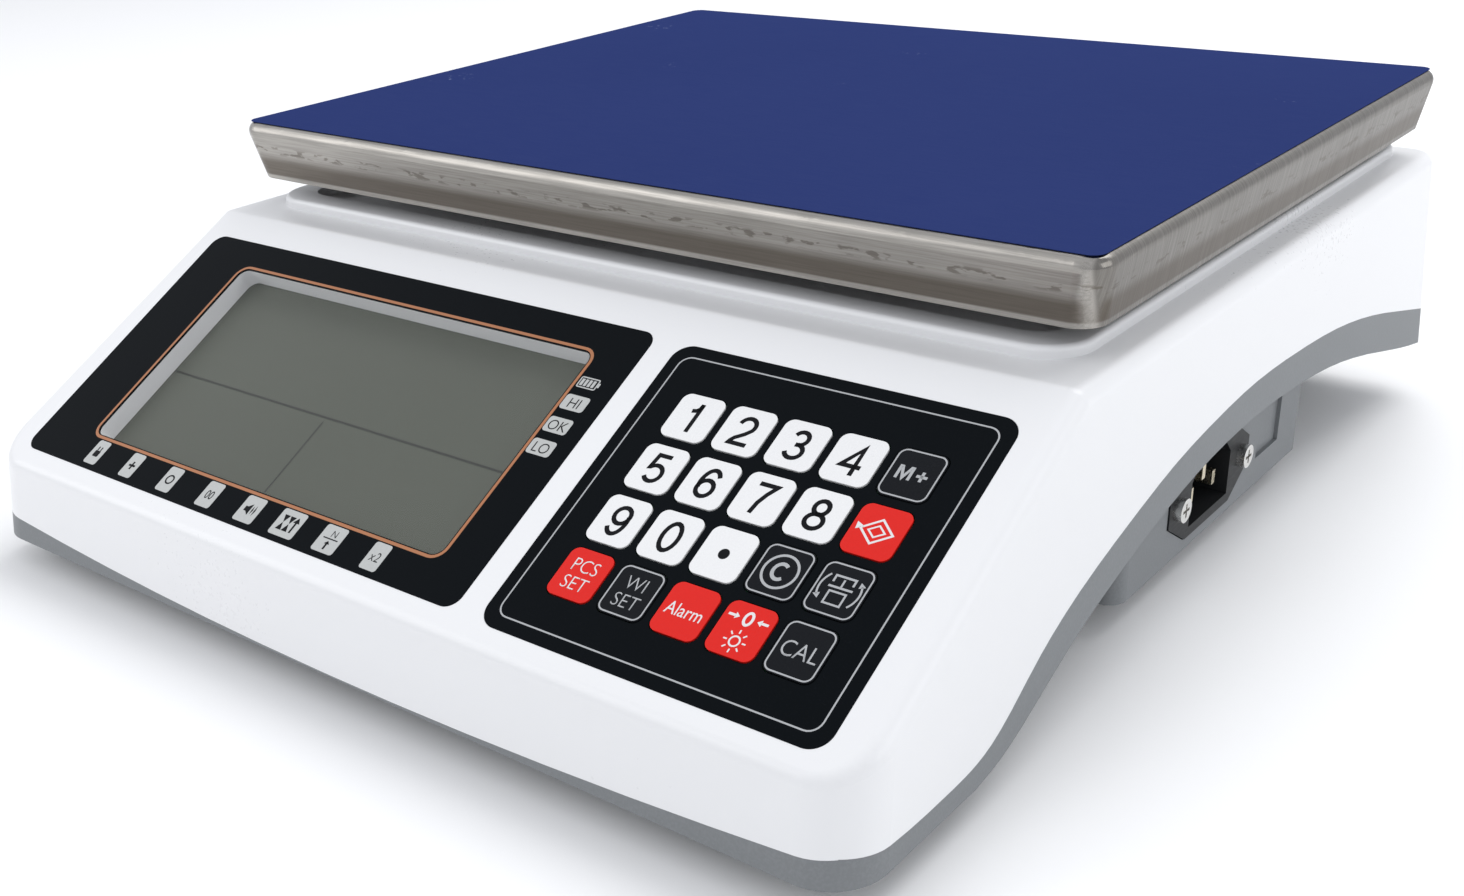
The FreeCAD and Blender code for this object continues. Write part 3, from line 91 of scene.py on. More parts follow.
def soft_box(name, place, target, wide, tall, watts):
    lamp = bpy.data.lights.new(name, "AREA")
    lamp.shape = "RECTANGLE"
    lamp.size, lamp.size_y = wide, tall
    lamp.energy = watts
    box = bpy.data.objects.new(name, lamp)
    scene.collection.objects.link(box)
    box.location = place
    box.rotation_euler = (Vector(target) - Vector(place)).to_track_quat(
        "-Z", "Y").to_euler()


soft_box("overhead", (0.15, 0.75, 1.25), (0, 0, 0.05), 1.3, 0.9, 11)
soft_box("operator_left", (-1.0, -0.9, 0.75), (0, 0, 0.05), 1.0, 0.8, 5)
soft_box("right_side", (1.3, 0.1, 0.6), (0, 0, 0.05), 0.9, 0.7, 2.5)

# ------------------------------------------------------------ grey base
# The lower shell is injection-moulded ABS in a mid grey.  Its outside has
# a spark-eroded grain about half a millimetre across.


class Wire:
    """A shader socket that can be added, multiplied and compared."""

    def __init__(self, finish, socket):
        self.finish, self.socket = finish, socket

    def do(self, operation, *others):
        return self.finish.node("ShaderNodeMath", {"operation": operation},
                                self, *others)

    def __add__(self, other):
        return self.do("ADD", other)

    def __sub__(self, other):
        return self.do("SUBTRACT", other)

    def __mul__(self, other):
        return self.do("MULTIPLY", other)

    def __truediv__(self, other):
        return self.do("DIVIDE", other)

    def __rsub__(self, other):
        return self.finish.node("ShaderNodeMath", {"operation": "SUBTRACT"},
                                other, self)

    __radd__ = __add__
    __rmul__ = __mul__

    def __abs__(self):
        return self.do("ABSOLUTE")

    def step(self, low, high):
        """0 below low, 1 above high, smooth between them."""
        return self.finish.node(
            "ShaderNodeMapRange", {"interpolation_type": "SMOOTHSTEP"},
            self, low, high, 0, 1)


class Finish:
    """One material: a Principled shader and the patterns that drive it."""

    def __init__(self, name, colour, roughness, **constants):
        self.material = bpy.data.materials.new(name)
        self.material.use_nodes = True
        self.tree = self.material.node_tree
        self.shader = self.tree.nodes["Principled BSDF"]
        self.colour = colour
        self.shader.inputs["Base Color"].default_value = (*colour, 1)
        self.shader.inputs["Roughness"].default_value = roughness
        for socket, value in constants.items():
            self.shader.inputs[socket.replace("_", " ")].default_value = value
        self.place = self.node("ShaderNodeTexCoord", {}, out="Object")

    def node(self, kind, settings, *inputs, out=0, **named):
        made = self.tree.nodes.new(kind)
        for setting, value in settings.items():
            setattr(made, setting, value)
        for key, value in [*enumerate(inputs), *named.items()]:
            socket = made.inputs[key]
            if isinstance(value, Wire):
                self.tree.links.new(value.socket, socket)
            else:
                socket.default_value = value
        return Wire(self, made.outputs[out])

    def axes(self):
        split = self.node("ShaderNodeSeparateXYZ", {}, self.place)
        return [Wire(self, s) for s in split.socket.node.outputs]

    def stretched(self, x, y, z):
        return self.node("ShaderNodeVectorMath", {"operation": "MULTIPLY"},
                         self.place, (x, y, z))

    def noise(self, scale, detail=2.0, vector=None):
        return self.node("ShaderNodeTexNoise", {}, Vector=vector or self.place,
                         Scale=scale, Detail=detail)

    def tint(self, factor, second, first=None):
        """The colour turns from the first towards the second by factor."""
        mixed = self.node("ShaderNodeMix", {"data_type": "RGBA"}, factor,
                          out=2)
        for index, value in ((6, first or self.colour), (7, second)):
            socket = mixed.socket.node.inputs[index]
            if isinstance(value, Wire):
                self.tree.links.new(value.socket, socket)
            else:
                socket.default_value = (*value, 1)
        return mixed

    def drive(self, socket, wire):
        self.tree.links.new(wire.socket, self.shader.inputs[socket])

    def emboss(self, height, depth, strength=1.0):
        """Height, from 0 to 1, stands out of the surface by depth metres."""
        self.drive("Normal", self.node(
            "ShaderNodeBump", {}, Strength=strength, Distance=depth,
            Height=height, out="Normal"))

    def on(self, *names):
        for name in names:
            slots = nodes[name].material_slots
            if not slots:
                nodes[name].data.materials.append(self.material)
            for slot in slots:
                slot.material = self.material


grey_abs = Finish("grey_abs", (0.185, 0.195, 0.202), 0.46,
                  Specular_IOR_Level=0.3)
grain = grey_abs.noise(1500, 3)
blotch = grey_abs.noise(60, 2)
grey_abs.drive("Base Color", grey_abs.tint(
    grain.step(0.35, 0.75) * 0.35 + blotch * 0.15, (0.245, 0.257, 0.266)))
grey_abs.drive("Roughness", 0.40 + grain * 0.16)
grey_abs.emboss(grain, 0.00006, 0.55)
grey_abs.on("bottom_housing", "battery_cover")

# ------------------------------------------------------ screws and studs
# Zinc-plated steel: the housing screws, load-cell bolts, stop screw, foot
# studs and nuts.  The two inlet screws are brighter nickel plate.
zinc = Finish("zinc_plate", (0.60, 0.61, 0.62), 0.34, Metallic=1.0)
cloud = zinc.noise(420, 4)
zinc.drive("Base Color", zinc.tint(cloud.step(0.4, 0.7), (0.48, 0.49, 0.47)))
zinc.drive("Roughness", 0.26 + cloud * 0.22)
zinc.emboss(zinc.noise(1600, 2), 0.00002, 0.4)
zinc.on("housing_screws", "cell_bolts", "column_bolts", "overload_stop",
        "foot_nuts", "foot_stud_1", "foot_stud_2", "foot_stud_3",
        "foot_stud_4")
nickel = Finish("nickel_plate", (0.80, 0.79, 0.76), 0.20, Metallic=1.0)
wear = nickel.noise(900, 3)
nickel.drive("Roughness", 0.14 + wear * 0.2)
nickel.emboss(wear, 0.00002, 0.4)
nickel.on("inlet_screws")

# ---------------------------------------------------------- rubber parts
# Black moulded rubber: four swivelling foot pads under the base and four
# pads that carry the pan.  The skin is matt with a dusting of bloom.
rubber = Finish("black_rubber", (0.018, 0.018, 0.019), 0.72)
dust = rubber.noise(240, 4)
rubber.drive("Base Color", rubber.tint(dust.step(0.5, 0.8) * 0.6,
                                       (0.055, 0.055, 0.052)))
rubber.drive("Roughness", 0.62 + dust * 0.25)
rubber.emboss(rubber.noise(1900, 2), 0.00004, 0.6)
rubber.on("pan_pads", "foot_pad_1", "foot_pad_2", "foot_pad_3", "foot_pad_4")

# ------------------------------------------------- battery and transformer
# A sealed lead-acid battery in a dark ribbed case, and a small mains
# transformer: stacked steel core, yellow tape over the winding.  The ribs,
# sheets and wires are sine waves, each with its radians to the metre.
case = Finish("battery_case", (0.030, 0.031, 0.034), 0.42)
_, _, z = case.axes()
rib_turn = 700
ribs = (z * rib_turn).do("SINE").step(0.55, 0.8)
case.drive("Roughness", 0.35 + case.noise(500, 3) * 0.2)
case.drive("Base Color", case.tint(ribs * 0.5, (0.055, 0.056, 0.06)))
case.emboss(ribs, 0.0003, 0.5)
case.on("battery")

core = Finish("transformer_core", (0.16, 0.165, 0.17), 0.45)
low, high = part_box("transformer")
_, y, z = core.axes()
stack_half = 9.05 * mm
sheet_turn, wire_turn = 9000, 5200
winding = abs(y - (low.y + high.y) / 2).step(stack_half, stack_half + 0.1 * mm)
sheets = (z * sheet_turn).do("SINE") * 0.5 + 0.5
turns = (z * wire_turn).do("SINE") * 0.5 + 0.5
steel_look = core.tint(sheets, (0.26, 0.265, 0.27))
core.drive("Base Color", core.tint(
    winding, core.tint(turns * 0.3, (0.55, 0.40, 0.09), (0.72, 0.56, 0.14)),
    steel_look))
core.emboss(sheets * (1 - winding) + turns * winding, 0.00008, 0.5)
core.on("transformer")

# ---------------------------------------------------------- circuit boards
# Green solder mask over copper tracks, with tinned pads.
board = Finish("circuit_board", (0.012, 0.095, 0.040), 0.30)
tracks = board.node("ShaderNodeTexBrick", {"offset": 0.37}, board.place,
                    Scale=260.0, out="Fac")
pads = board.node("ShaderNodeTexVoronoi", {}, Vector=board.place,
                  Scale=420.0, out="Distance")
tinned = 1 - pads.step(0.10, 0.16)
masked = board.tint(tracks * 0.5, (0.02, 0.15, 0.06))
board.drive("Base Color", board.tint(tinned, (0.62, 0.61, 0.56), masked))
board.drive("Metallic", tinned)
board.emboss(tracks * 0.5 + tinned, 0.00005, 0.6)
board.on("main_board", "power_board", "lcd_board", "keypad_circuit")

# ------------------------------------------------ load cell and pan support
# The load cell, its base block and the column are milled aluminium with
# fine cutter lines.  The four-armed pan support is a rougher casting.
milled = Finish("milled_aluminium", (0.70, 0.71, 0.72), 0.30, Metallic=1.0)
lines = milled.noise(1.0, 3, milled.stretched(2600, 60, 2600))
milled.drive("Roughness", 0.22 + lines * 0.25)
milled.emboss(lines, 0.00003, 0.5)
milled.on("load_cell", "cell_base_block", "platform_column")
cast = Finish("cast_aluminium", (0.56, 0.57, 0.58), 0.48, Metallic=1.0)
pebble = cast.noise(700, 4)
cast.drive("Base Color", cast.tint(pebble, (0.44, 0.45, 0.46)))
cast.drive("Roughness", 0.40 + pebble * 0.25)
cast.emboss(pebble, 0.00015, 0.6)
cast.on("pan_support")

# ------------------------------------------------ mains inlet and switch
# Glass-filled black nylon: the inlet that takes a mains connector, the
# power switch under the base and its rocker.  The three pins are plated.
nylon = Finish("black_nylon", (0.014, 0.015, 0.016), 0.40,
               Specular_IOR_Level=0.2)
fibre = nylon.noise(1.0, 3, nylon.stretched(1400, 300, 1400))
nylon.drive("Base Color", nylon.tint(fibre.step(0.5, 0.8) * 0.5,
                                     (0.028, 0.028, 0.030)))
nylon.drive("Roughness", 0.32 + fibre * 0.2)
nylon.emboss(fibre, 0.00003, 0.5)
nylon.on("mains_inlet", "power_switch", "switch_rocker")
plated = Finish("plated_brass", (0.78, 0.70, 0.52), 0.22, Metallic=1.0)
plated.drive("Roughness", 0.16 + plated.noise(900, 3) * 0.2)
plated.on("inlet_pins")

# ------------------------------------------------------- white top housing
# The upper shell is glossy white ABS.  A polished mould leaves a faint
# long ripple and a few dull patches, but no grain.
white_abs = Finish("white_abs", (0.800, 0.802, 0.808), 0.28)
ripple = white_abs.noise(9, 1)
fine = white_abs.noise(900, 2)
white_abs.drive("Base Color", white_abs.tint(ripple * 0.5,
                                             (0.785, 0.788, 0.796)))
white_abs.drive("Roughness", 0.25 + ripple * 0.04 + fine * 0.03)
white_abs.emboss(fine, 0.000004, 0.3)
white_abs.on("top_housing")

# --------------------------------------------------------- display overlay
# A black printed polyester sheet is glued to the sloped panel.  Copper ink
# lines the window, and pale ink marks the states that the display shows.
polyester = Finish("black_polyester", (0.0035, 0.0048, 0.0062), 0.30,
                   Specular_IOR_Level=0.03)
weave = polyester.noise(2600, 2)
haze = polyester.noise(70, 3)
polyester.drive("Base Color", polyester.tint(weave.step(0.55, 0.8) * 0.5,
                                             (0.008, 0.009, 0.012)))
polyester.drive("Roughness", 0.26 + weave * 0.08 + haze * 0.08)
polyester.emboss(weave, 0.000008, 0.4)
polyester.on("lcd_overlay", "keypad_overlay")

tilt = math.radians(28.5)
sheet_thick, sheet_sink = 0.5, 0.4
sheet_low_edge = 0.4
face = sheet_thick - sheet_sink
low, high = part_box("lcd_overlay")
foot = Vector((0, low.y / mm - sheet_low_edge * math.cos(tilt)
               + face * math.sin(tilt),
               low.z / mm - sheet_low_edge * math.sin(tilt)
               + sheet_sink * math.cos(tilt))) * mm
panel = (Matrix.Translation(foot) @ Matrix.Rotation(tilt, 4, "X")
         @ Matrix.Scale(mm, 4))
ink = 0.03


def rounded(bm, u0, u1, v0, v1, corner, line=None):
    """A rounded rectangle of ink, or only its outline line wide."""
    earlier = set(bm.faces)
    made = bmesh.ops.create_grid(bm, x_segments=1, y_segments=1, size=0.5)
    verts = made["verts"]
    bmesh.ops.scale(bm, vec=(u1 - u0, v1 - v0, 1), verts=verts)
    bmesh.ops.translate(bm, vec=((u0 + u1) / 2, (v0 + v1) / 2, 0),
                        verts=verts)
    bmesh.ops.bevel(bm, geom=verts, offset=corner, segments=6,
                    affect="VERTICES", profile=0.5, material=-1)
    if line:
        middle = next(f for f in bm.faces if f not in earlier)
        bmesh.ops.inset_region(bm, faces=[middle], thickness=line,
                               use_boundary=True, use_even_offset=True)
        bmesh.ops.delete(bm, geom=[middle], context="FACES_ONLY")


def disc(bm, u, v, radius, line=None):
    rounded(bm, u - radius, u + radius, v - radius, v + radius,
            radius * 0.999, line)


def patch(bm, *points):
    """A flat patch of ink with straight sides."""
    bm.faces.new([bm.verts.new((u, v, 0)) for u, v in points])


def lettering(bm, text, u, v, high, wide=1.0, bold=0.0):
    """Plain capitals or digits centred on a point, high millimetres tall."""
    curve = bpy.data.curves.new("lettering", "FONT")
    curve.body, curve.offset = text, bold
    curve.align_x = "CENTER"
    curve.resolution_u = 5
    holder = bpy.data.objects.new("lettering", curve)
    mesh = bpy.data.meshes.new_from_object(holder)
    cap = 0.729
    mesh.transform(Matrix.Translation((u, v - high / 2, 0)) @ Matrix.Diagonal(
        (wide * high / cap, high / cap, 1, 1)))
    bm.from_mesh(mesh)
    bpy.data.meshes.remove(mesh)
    bpy.data.objects.remove(holder)
    bpy.data.curves.remove(curve)


def printed(name, bm, level, finish, body):
    """Gives flat ink its thickness and lays it on the panel."""
    bmesh.ops.remove_doubles(bm, verts=bm.verts[:], dist=0.001)
    made = bmesh.ops.extrude_face_region(bm, geom=bm.faces[:])
    tops = [v for v in made["geom"] if isinstance(v, bmesh.types.BMVert)]
    bmesh.ops.translate(bm, vec=(0, 0, ink), verts=tops)
    bmesh.ops.recalc_face_normals(bm, faces=bm.faces[:])
    bm.transform(panel @ Matrix.Translation((0, 0, level)))
    mesh = bpy.data.meshes.new(name)
    bm.to_mesh(mesh)
    bm.free()
    mesh.materials.append(finish.material)
    piece = bpy.data.objects.new(name, mesh)
    scene.collection.objects.link(piece)
    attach(piece, body)


window_u0, window_u1, window_v0, window_v1 = -114.1, 22.5, 11.3, 75.9
window_corner = 3.0
copper_ink = Finish("copper_ink", (0.42, 0.17, 0.075), 0.35, Metallic=0.3)
copper_ink.drive("Roughness", 0.28 + copper_ink.noise(900, 2) * 0.2)
bm = bmesh.new()
border = 1.15
rounded(bm, window_u0 - border, window_u1 + border, window_v0 - border,
        window_v1 + border, window_corner + border, line=0.85)
printed("window_outline", bm, face, copper_ink, "housing")

pale_ink = Finish("pale_ink", (0.42, 0.43, 0.42), 0.40)
speck = pale_ink.noise(1500, 3)
pale_ink.drive("Base Color", pale_ink.tint(speck, (0.50, 0.51, 0.50)))
pale_ink.drive("Roughness", 0.34 + speck * 0.2)
dark_ink = Finish("dark_ink", (0.006, 0.0065, 0.008), 0.40,
                  Specular_IOR_Level=0.08)
dark_ink.drive("Roughness", 0.30 + dark_ink.noise(1500, 2) * 0.2)

bm = bmesh.new()
marks = bmesh.new()
state_u, state_half_u, state_half_v = 27.6, 3.7, 2.3
for state, v in (("HI", 60.6), ("OK", 53.4), ("LO", 46.4)):
    rounded(bm, state_u - state_half_u, state_u + state_half_u,
            v - state_half_v, v + state_half_v, 0.9)
    lettering(marks, state, state_u, v, 3.1, wide=0.95, bold=-0.01)
cell_u, cell_v = 27.2, 67.0
rounded(bm, cell_u - 3.0, cell_u + 3.0, cell_v - 1.7, cell_v + 1.7, 0.5,
        line=0.35)
rounded(bm, cell_u + 3.05, cell_u + 3.6, cell_v - 0.7, cell_v + 0.7, 0.2)
for bar in range(4):
    left = cell_u - 2.35 + bar * 1.2
    rounded(bm, left, left + 0.85, cell_v - 1.05, cell_v + 1.05, 0.1)
tabs_u = (-106.9, -90.8, -74.0, -57.0, -40.7, -25.9, -10.3, 6.0)
tab_halves = (2.6, 2.6, 2.8, 3.0, 3.6, 4.4, 3.8, 2.8)
tab_low, tab_high = 2.0, 9.8
tab_mid = (tab_low + tab_high) / 2
for u, half in zip(tabs_u, tab_halves):
    rounded(bm, u - half, u + half, tab_low, tab_high, 0.8)
printed("state_plates", bm, face, pale_ink, "housing")

# a plug, a plus, a ring and two noughts on the four tabs at the left
u = tabs_u[0]
rounded(marks, u - 1.1, u + 1.1, tab_mid - 1.4, tab_mid + 0.6, 0.3)
for side in (-1, 1):
    rounded(marks, u + side * 0.6 - 0.2, u + side * 0.6 + 0.2,
            tab_mid + 0.7, tab_mid + 1.9, 0.05)
lettering(marks, "+", tabs_u[1], tab_mid, 3.6, bold=0.02)
disc(marks, tabs_u[2], tab_mid, 1.5, line=0.45)
lettering(marks, "00", tabs_u[3], tab_mid, 2.7, wide=0.8)
# loudspeaker
u = tabs_u[4]
patch(marks, (u - 2.0, tab_mid - 0.7), (u - 1.1, tab_mid - 0.7),
      (u + 0.1, tab_mid - 1.7), (u + 0.1, tab_mid + 1.7),
      (u - 1.1, tab_mid + 0.7), (u - 2.0, tab_mid + 0.7))
for wave in (0.8, 1.7):
    reach = 0.9 + wave * 0.4
    patch(marks, (u + wave, tab_mid - reach), (u + wave + 0.35, tab_mid),
          (u + wave, tab_mid + reach), (u + wave - 0.15, tab_mid))
# total up and down, net and gross arrows, and times two
u = tabs_u[5]
for lean, middle in ((1, u - 1.9), (-1, u + 0.3)):
    patch(marks, (middle - 1.0, tab_mid - lean * 2.2),
          (middle + 1.0, tab_mid - lean * 2.2), (middle, tab_mid))
    patch(marks, (middle - 1.0, tab_mid + lean * 2.2),
          (middle, tab_mid + 0.05 * lean),
          (middle + 1.0, tab_mid + lean * 2.2))
patch(marks, (u + 2.0, tab_mid - 2.2), (u + 2.6, tab_mid - 2.2),
      (u + 2.6, tab_mid + 0.8), (u + 3.4, tab_mid + 0.8),
      (u + 2.3, tab_mid + 2.4), (u + 1.2, tab_mid + 0.8),
      (u + 2.0, tab_mid + 0.8))
u = tabs_u[6]
lettering(marks, "N", u + 0.4, tab_mid + 1.7, 2.0, bold=-0.01)
patch(marks, (u - 2.4, tab_mid + 0.0), (u + 2.6, tab_mid + 0.0),
      (u + 2.6, tab_mid + 0.3), (u - 2.4, tab_mid + 0.3))
patch(marks, (u - 0.3, tab_mid - 3.0), (u + 0.3, tab_mid - 3.0),
      (u + 0.3, tab_mid - 1.4), (u + 0.9, tab_mid - 1.4),
      (u, tab_mid - 0.5), (u - 0.9, tab_mid - 1.4), (u - 0.3, tab_mid - 1.4))
lettering(marks, "x2", tabs_u[7], tab_mid, 2.8, wide=0.85, bold=-0.01)
printed("state_marks", marks, face + ink, dark_ink, "housing")

# ------------------------------------------------- display under its window
# A clear window covers the liquid-crystal cell, which sits in a white well.
# The cell is unpowered: a greenish grey with two faint segment gaps.
lens = Finish("clear_window", (0.10, 0.11, 0.10), 0.05, Alpha=0.06,
              Specular_IOR_Level=0.25)
smear = lens.noise(55, 3)
lens.drive("Roughness", 0.03 + smear.step(0.45, 0.8) * 0.10)
lens.on("lcd_lens")
crystal = Finish("liquid_crystal", (0.112, 0.119, 0.100), 0.34,
                 Specular_IOR_Level=0.15)
grainy = crystal.noise(1800, 3)
drift = crystal.noise(14, 1)
crystal.drive("Base Color", crystal.tint(
    grainy * 0.35 + drift * 0.45, (0.142, 0.150, 0.128)))
crystal.drive("Roughness", 0.26 + grainy * 0.15)
crystal.on("lcd_glass")
diffuser = Finish("white_diffuser", (0.72, 0.72, 0.70), 0.5)
diffuser.drive("Roughness", 0.42 + diffuser.noise(800, 3) * 0.2)
diffuser.on("lcd_backlight", "lcd_holder")

segment_ink = Finish("segment_gap", (0.035, 0.038, 0.032), 0.40)
segment_ink.drive("Roughness", 0.35 + segment_ink.noise(900, 2) * 0.15)
cell_level = -5.5
cell_past = 2.9
across_v0, across_v1 = 39.7, 40.4
between_u0, between_u1, between_v0 = -48.3, -47.7, 14.0
bm = bmesh.new()
rounded(bm, window_u0 - cell_past, window_u1 + cell_past,
        across_v0, across_v1, 0.1)
rounded(bm, between_u0, between_u1, between_v0, across_v0 - 1.1, 0.1)
printed("display_gaps", bm, cell_level, segment_ink, "housing")

# ----------------------------------------------------------------- keypad
# Twenty keys of embossed polyester over snap domes.  The digits are on
# white keys, four set-up keys are red, and five are black with a pale line.
key_u, key_v, pitch_u, pitch_v = 60.88, 64.87, 14.57, 15.41
key_half_u, key_half_v, key_corner = 6.1, 6.4, 2.2
edge_in = 0.25
key_top = face + 0.2
dome_ring = 4.7 * mm


def from_middle(distance, first, pitch):
    """How far a place lies from the middle of the nearest key."""
    keys = distance / (pitch * mm) - (first / pitch - 0.5)
    return (keys.do("FLOORED_MODULO", 1.0) - 0.5) * (pitch * mm)


def key_finish(name, colour, roughness, second, sheen):
    """Printed polyester with the faint ring of the dome below."""
    paint = Finish(name, colour, roughness, Specular_IOR_Level=sheen)
    x, y, z = paint.axes()
    up_slope = ((y - foot.y) * math.cos(tilt) + (z - foot.z) * math.sin(tilt))
    across = from_middle(x, key_u, pitch_u)
    along = from_middle(up_slope, key_v, pitch_v)
    reach = (across * across + along * along).do("SQRT")
    ring = 1 - abs(reach - dome_ring).step(0.1 * mm, 0.9 * mm)
    skin = paint.noise(1700, 2)
    paint.drive("Roughness", roughness - 0.05 + skin * 0.12)
    paint.drive("Base Color", paint.tint(skin * 0.5, second))
    paint.emboss(ring + skin * 0.05, 0.00003, 0.4)
    return paint


white_key = key_finish("white_key", (0.80, 0.80, 0.80), 0.26,
                       (0.76, 0.76, 0.76), 0.4)
black_key = key_finish("black_key", (0.008, 0.009, 0.011), 0.26,
                       (0.012, 0.013, 0.016), 0.07)
red_key = key_finish("red_key", (0.70, 0.016, 0.010), 0.30,
                     (0.62, 0.011, 0.008), 0.22)
white_ink = Finish("white_ink", (0.72, 0.72, 0.72), 0.38)
white_ink.drive("Roughness", 0.30 + white_ink.noise(1500, 2) * 0.2)
silver_ink = Finish("silver_ink", (0.40, 0.41, 0.42), 0.36)
silver_ink.drive("Roughness", 0.30 + silver_ink.noise(1500, 2) * 0.2)

pad_u0, pad_u1, pad_high, outline_in = 43.8, 135.5, 84.6, 3.2
bm = bmesh.new()
rounded(bm, pad_u0 + outline_in, pad_u1 - outline_in, outline_in,
        pad_high - outline_in, outline_in, line=0.38)
printed("keypad_outline", bm, face, silver_ink, "housing")


def stroke(bm, points, line, closed=False):
    """A line of ink with mitred corners through the points."""
    spots = [Vector(p) for p in points]
    count = len(spots)
    sides = []
    for k, here in enumerate(spots):
        before = spots[k - 1] if closed or k else None
        after = spots[(k + 1) % count] if closed or k < count - 1 else None
        runs = [(b - a).normalized()
                for a, b in ((before, here), (here, after))
                if a is not None and b is not None]
        along = (runs[0] + runs[-1]).normalized()
        grow = line / 2 / max(along.dot(runs[0]), 0.4)
        out = Vector((-along.y, along.x)) * grow
        sides.append([bm.verts.new((*(here + side * out), 0))
                      for side in (1, -1)])
    pairs = zip(sides, sides[1:] + sides[:1]) if closed else zip(sides,
                                                                 sides[1:])
    for (a, b), (c, e) in pairs:
        bm.faces.new((a, b, e, c))


def arc(u, v, radius, start, end, steps=10, tall=None):
    turns = [math.radians(start + (end - start) * k / steps)
             for k in range(steps + 1)]
    return [(u + radius * math.cos(a), v + (tall or radius) * math.sin(a))
            for a in turns]


def on_circle(u, v, radius, angle):
    return arc(u, v, radius, angle, angle, 1)[0]


# centre lines of the digits, for figures 8.3 mm tall
digit_line = 1.12
loop = arc(0, 0, 2.15, 0, 342, 19, tall=3.65)
six = [arc(0, -1.45, 2.1, 0, 340, 17, tall=2.2),
       arc(0.15, 0, 2.25, 33, 205, 14, tall=3.65)]
digits = {
    "0": [loop],
    "1": [[(-1.5, 1.8), (-0.4, 2.05), (0.25, 2.7), (0.5, 4.1)],
          [(0.5, 4.15), (0.5, -4.15)]],
    "2": [arc(0, 1.55, 2.1, 172, -28, 12, tall=2.1)
          + [(0.6, -0.8), (-1.3, -2.2), (-1.95, -3.1), (-2.15, -3.65),
             (2.6, -3.65)]],
    "3": [arc(-0.1, 1.85, 1.8, 160, -90, 14),
          [(-0.7, 0.05), (0.1, 0.05)],
          arc(-0.1, -1.75, 2.15, 90, -165, 14, tall=1.9)],
    "4": [[(1.1, -4.15), (1.1, 3.3), (-2.35, -1.75), (2.6, -1.75)]],
    "5": [[(2.1, 3.65), (-1.45, 3.65), (-1.95, 0.05)]
          + arc(-0.05, -1.4, 2.2, 138, -150, 16, tall=2.25)],
    "6": six,
    "7": [[(-2.5, 3.65), (2.2, 3.65), (0.7, 1.3), (-0.35, -1.2),
           (-0.8, -4.15)]],
    "8": [arc(0, 1.85, 1.75, 0, 340, 17, tall=1.8),
          arc(0, -1.75, 2.15, 0, 342, 19, tall=1.9)],
    "9": [[(-u, -v) for u, v in line] for line in six]}
closed_lines = {"0": (0,), "6": (0,), "8": (0, 1), "9": (0,)}


def digit(text):
    def draw(bm, u, v):
        for k, line in enumerate(digits[text]):
            stroke(bm, [(u + a, v + b) for a, b in line], digit_line,
                   closed=k in closed_lines.get(text, ()))
    return draw


def memory_add(bm, u, v):
    stroke(bm, [(u - 3.5, v - 1.6), (u - 3.5, v + 1.6), (u - 3.1, v + 1.6),
                (u - 2.0, v - 1.2), (u - 0.9, v + 1.6), (u - 0.5, v + 1.6),
                (u - 0.5, v - 1.6)], 0.7)
    stroke(bm, [(u + 0.9, v), (u + 3.5, v)], 0.7)
    stroke(bm, [(u + 2.2, v - 1.3), (u + 2.2, v + 1.3)], 0.7)


def word(text, high, bold=0.0, wide=0.9):
    return lambda bm, u, v: lettering(bm, text, u, v, high, wide, bold)


def point(bm, u, v):
    disc(bm, u, v, 1.35)


def clear(bm, u, v):
    stroke(bm, arc(u, v, 4.1, 0, 350, 35), 0.6, closed=True)
    stroke(bm, arc(u, v, 1.75, 48, 312, 16, tall=1.95), 0.85)


def two_words(upper, lower):
    def draw(bm, u, v):
        lettering(bm, upper, u, v + 2.3, 3.6, wide=0.92, bold=-0.012)
        lettering(bm, lower, u, v - 2.3, 3.6, wide=0.92, bold=-0.012)
    return draw


def sample(bm, u, v):
    """A diamond with a counting mark, for a sampled piece weight."""
    stroke(bm, [(u - 3.9, v), (u, v + 3.1), (u + 3.9, v), (u, v - 3.1)], 0.5,
           closed=True)
    stroke(bm, [(u - 2.0, v), (u, v + 1.5), (u + 2.0, v), (u, v - 1.5)], 0.4,
           closed=True)
    patch(bm, (u - 5.2, v + 1.3), (u - 3.2, v + 0.5), (u - 4.9, v - 0.6))


def tare(bm, u, v):
    """A loaded pan between two turning arrows."""
    stroke(bm, [(u - 2.0, v - 3.6), (u + 2.0, v - 3.6), (u + 2.0, v - 0.6),
                (u - 2.0, v - 0.6)], 0.45, closed=True)
    stroke(bm, [(u - 2.9, v + 0.5), (u + 2.9, v + 0.5)], 0.5)
    stroke(bm, [(u - 2.4, v + 1.6), (u - 2.4, v + 3.2), (u + 2.4, v + 3.2),
                (u + 2.4, v + 1.6)], 0.5)
    stroke(bm, [(u, v + 0.7), (u, v + 2.6)], 0.45)
    for side in (0, 180):
        stroke(bm, arc(u, v, 4.8, side - 42, side + 28), 0.45)
        patch(bm, on_circle(u, v, 4.0, side + 24),
              on_circle(u, v, 5.6, side + 24), on_circle(u, v, 4.8, side + 40))


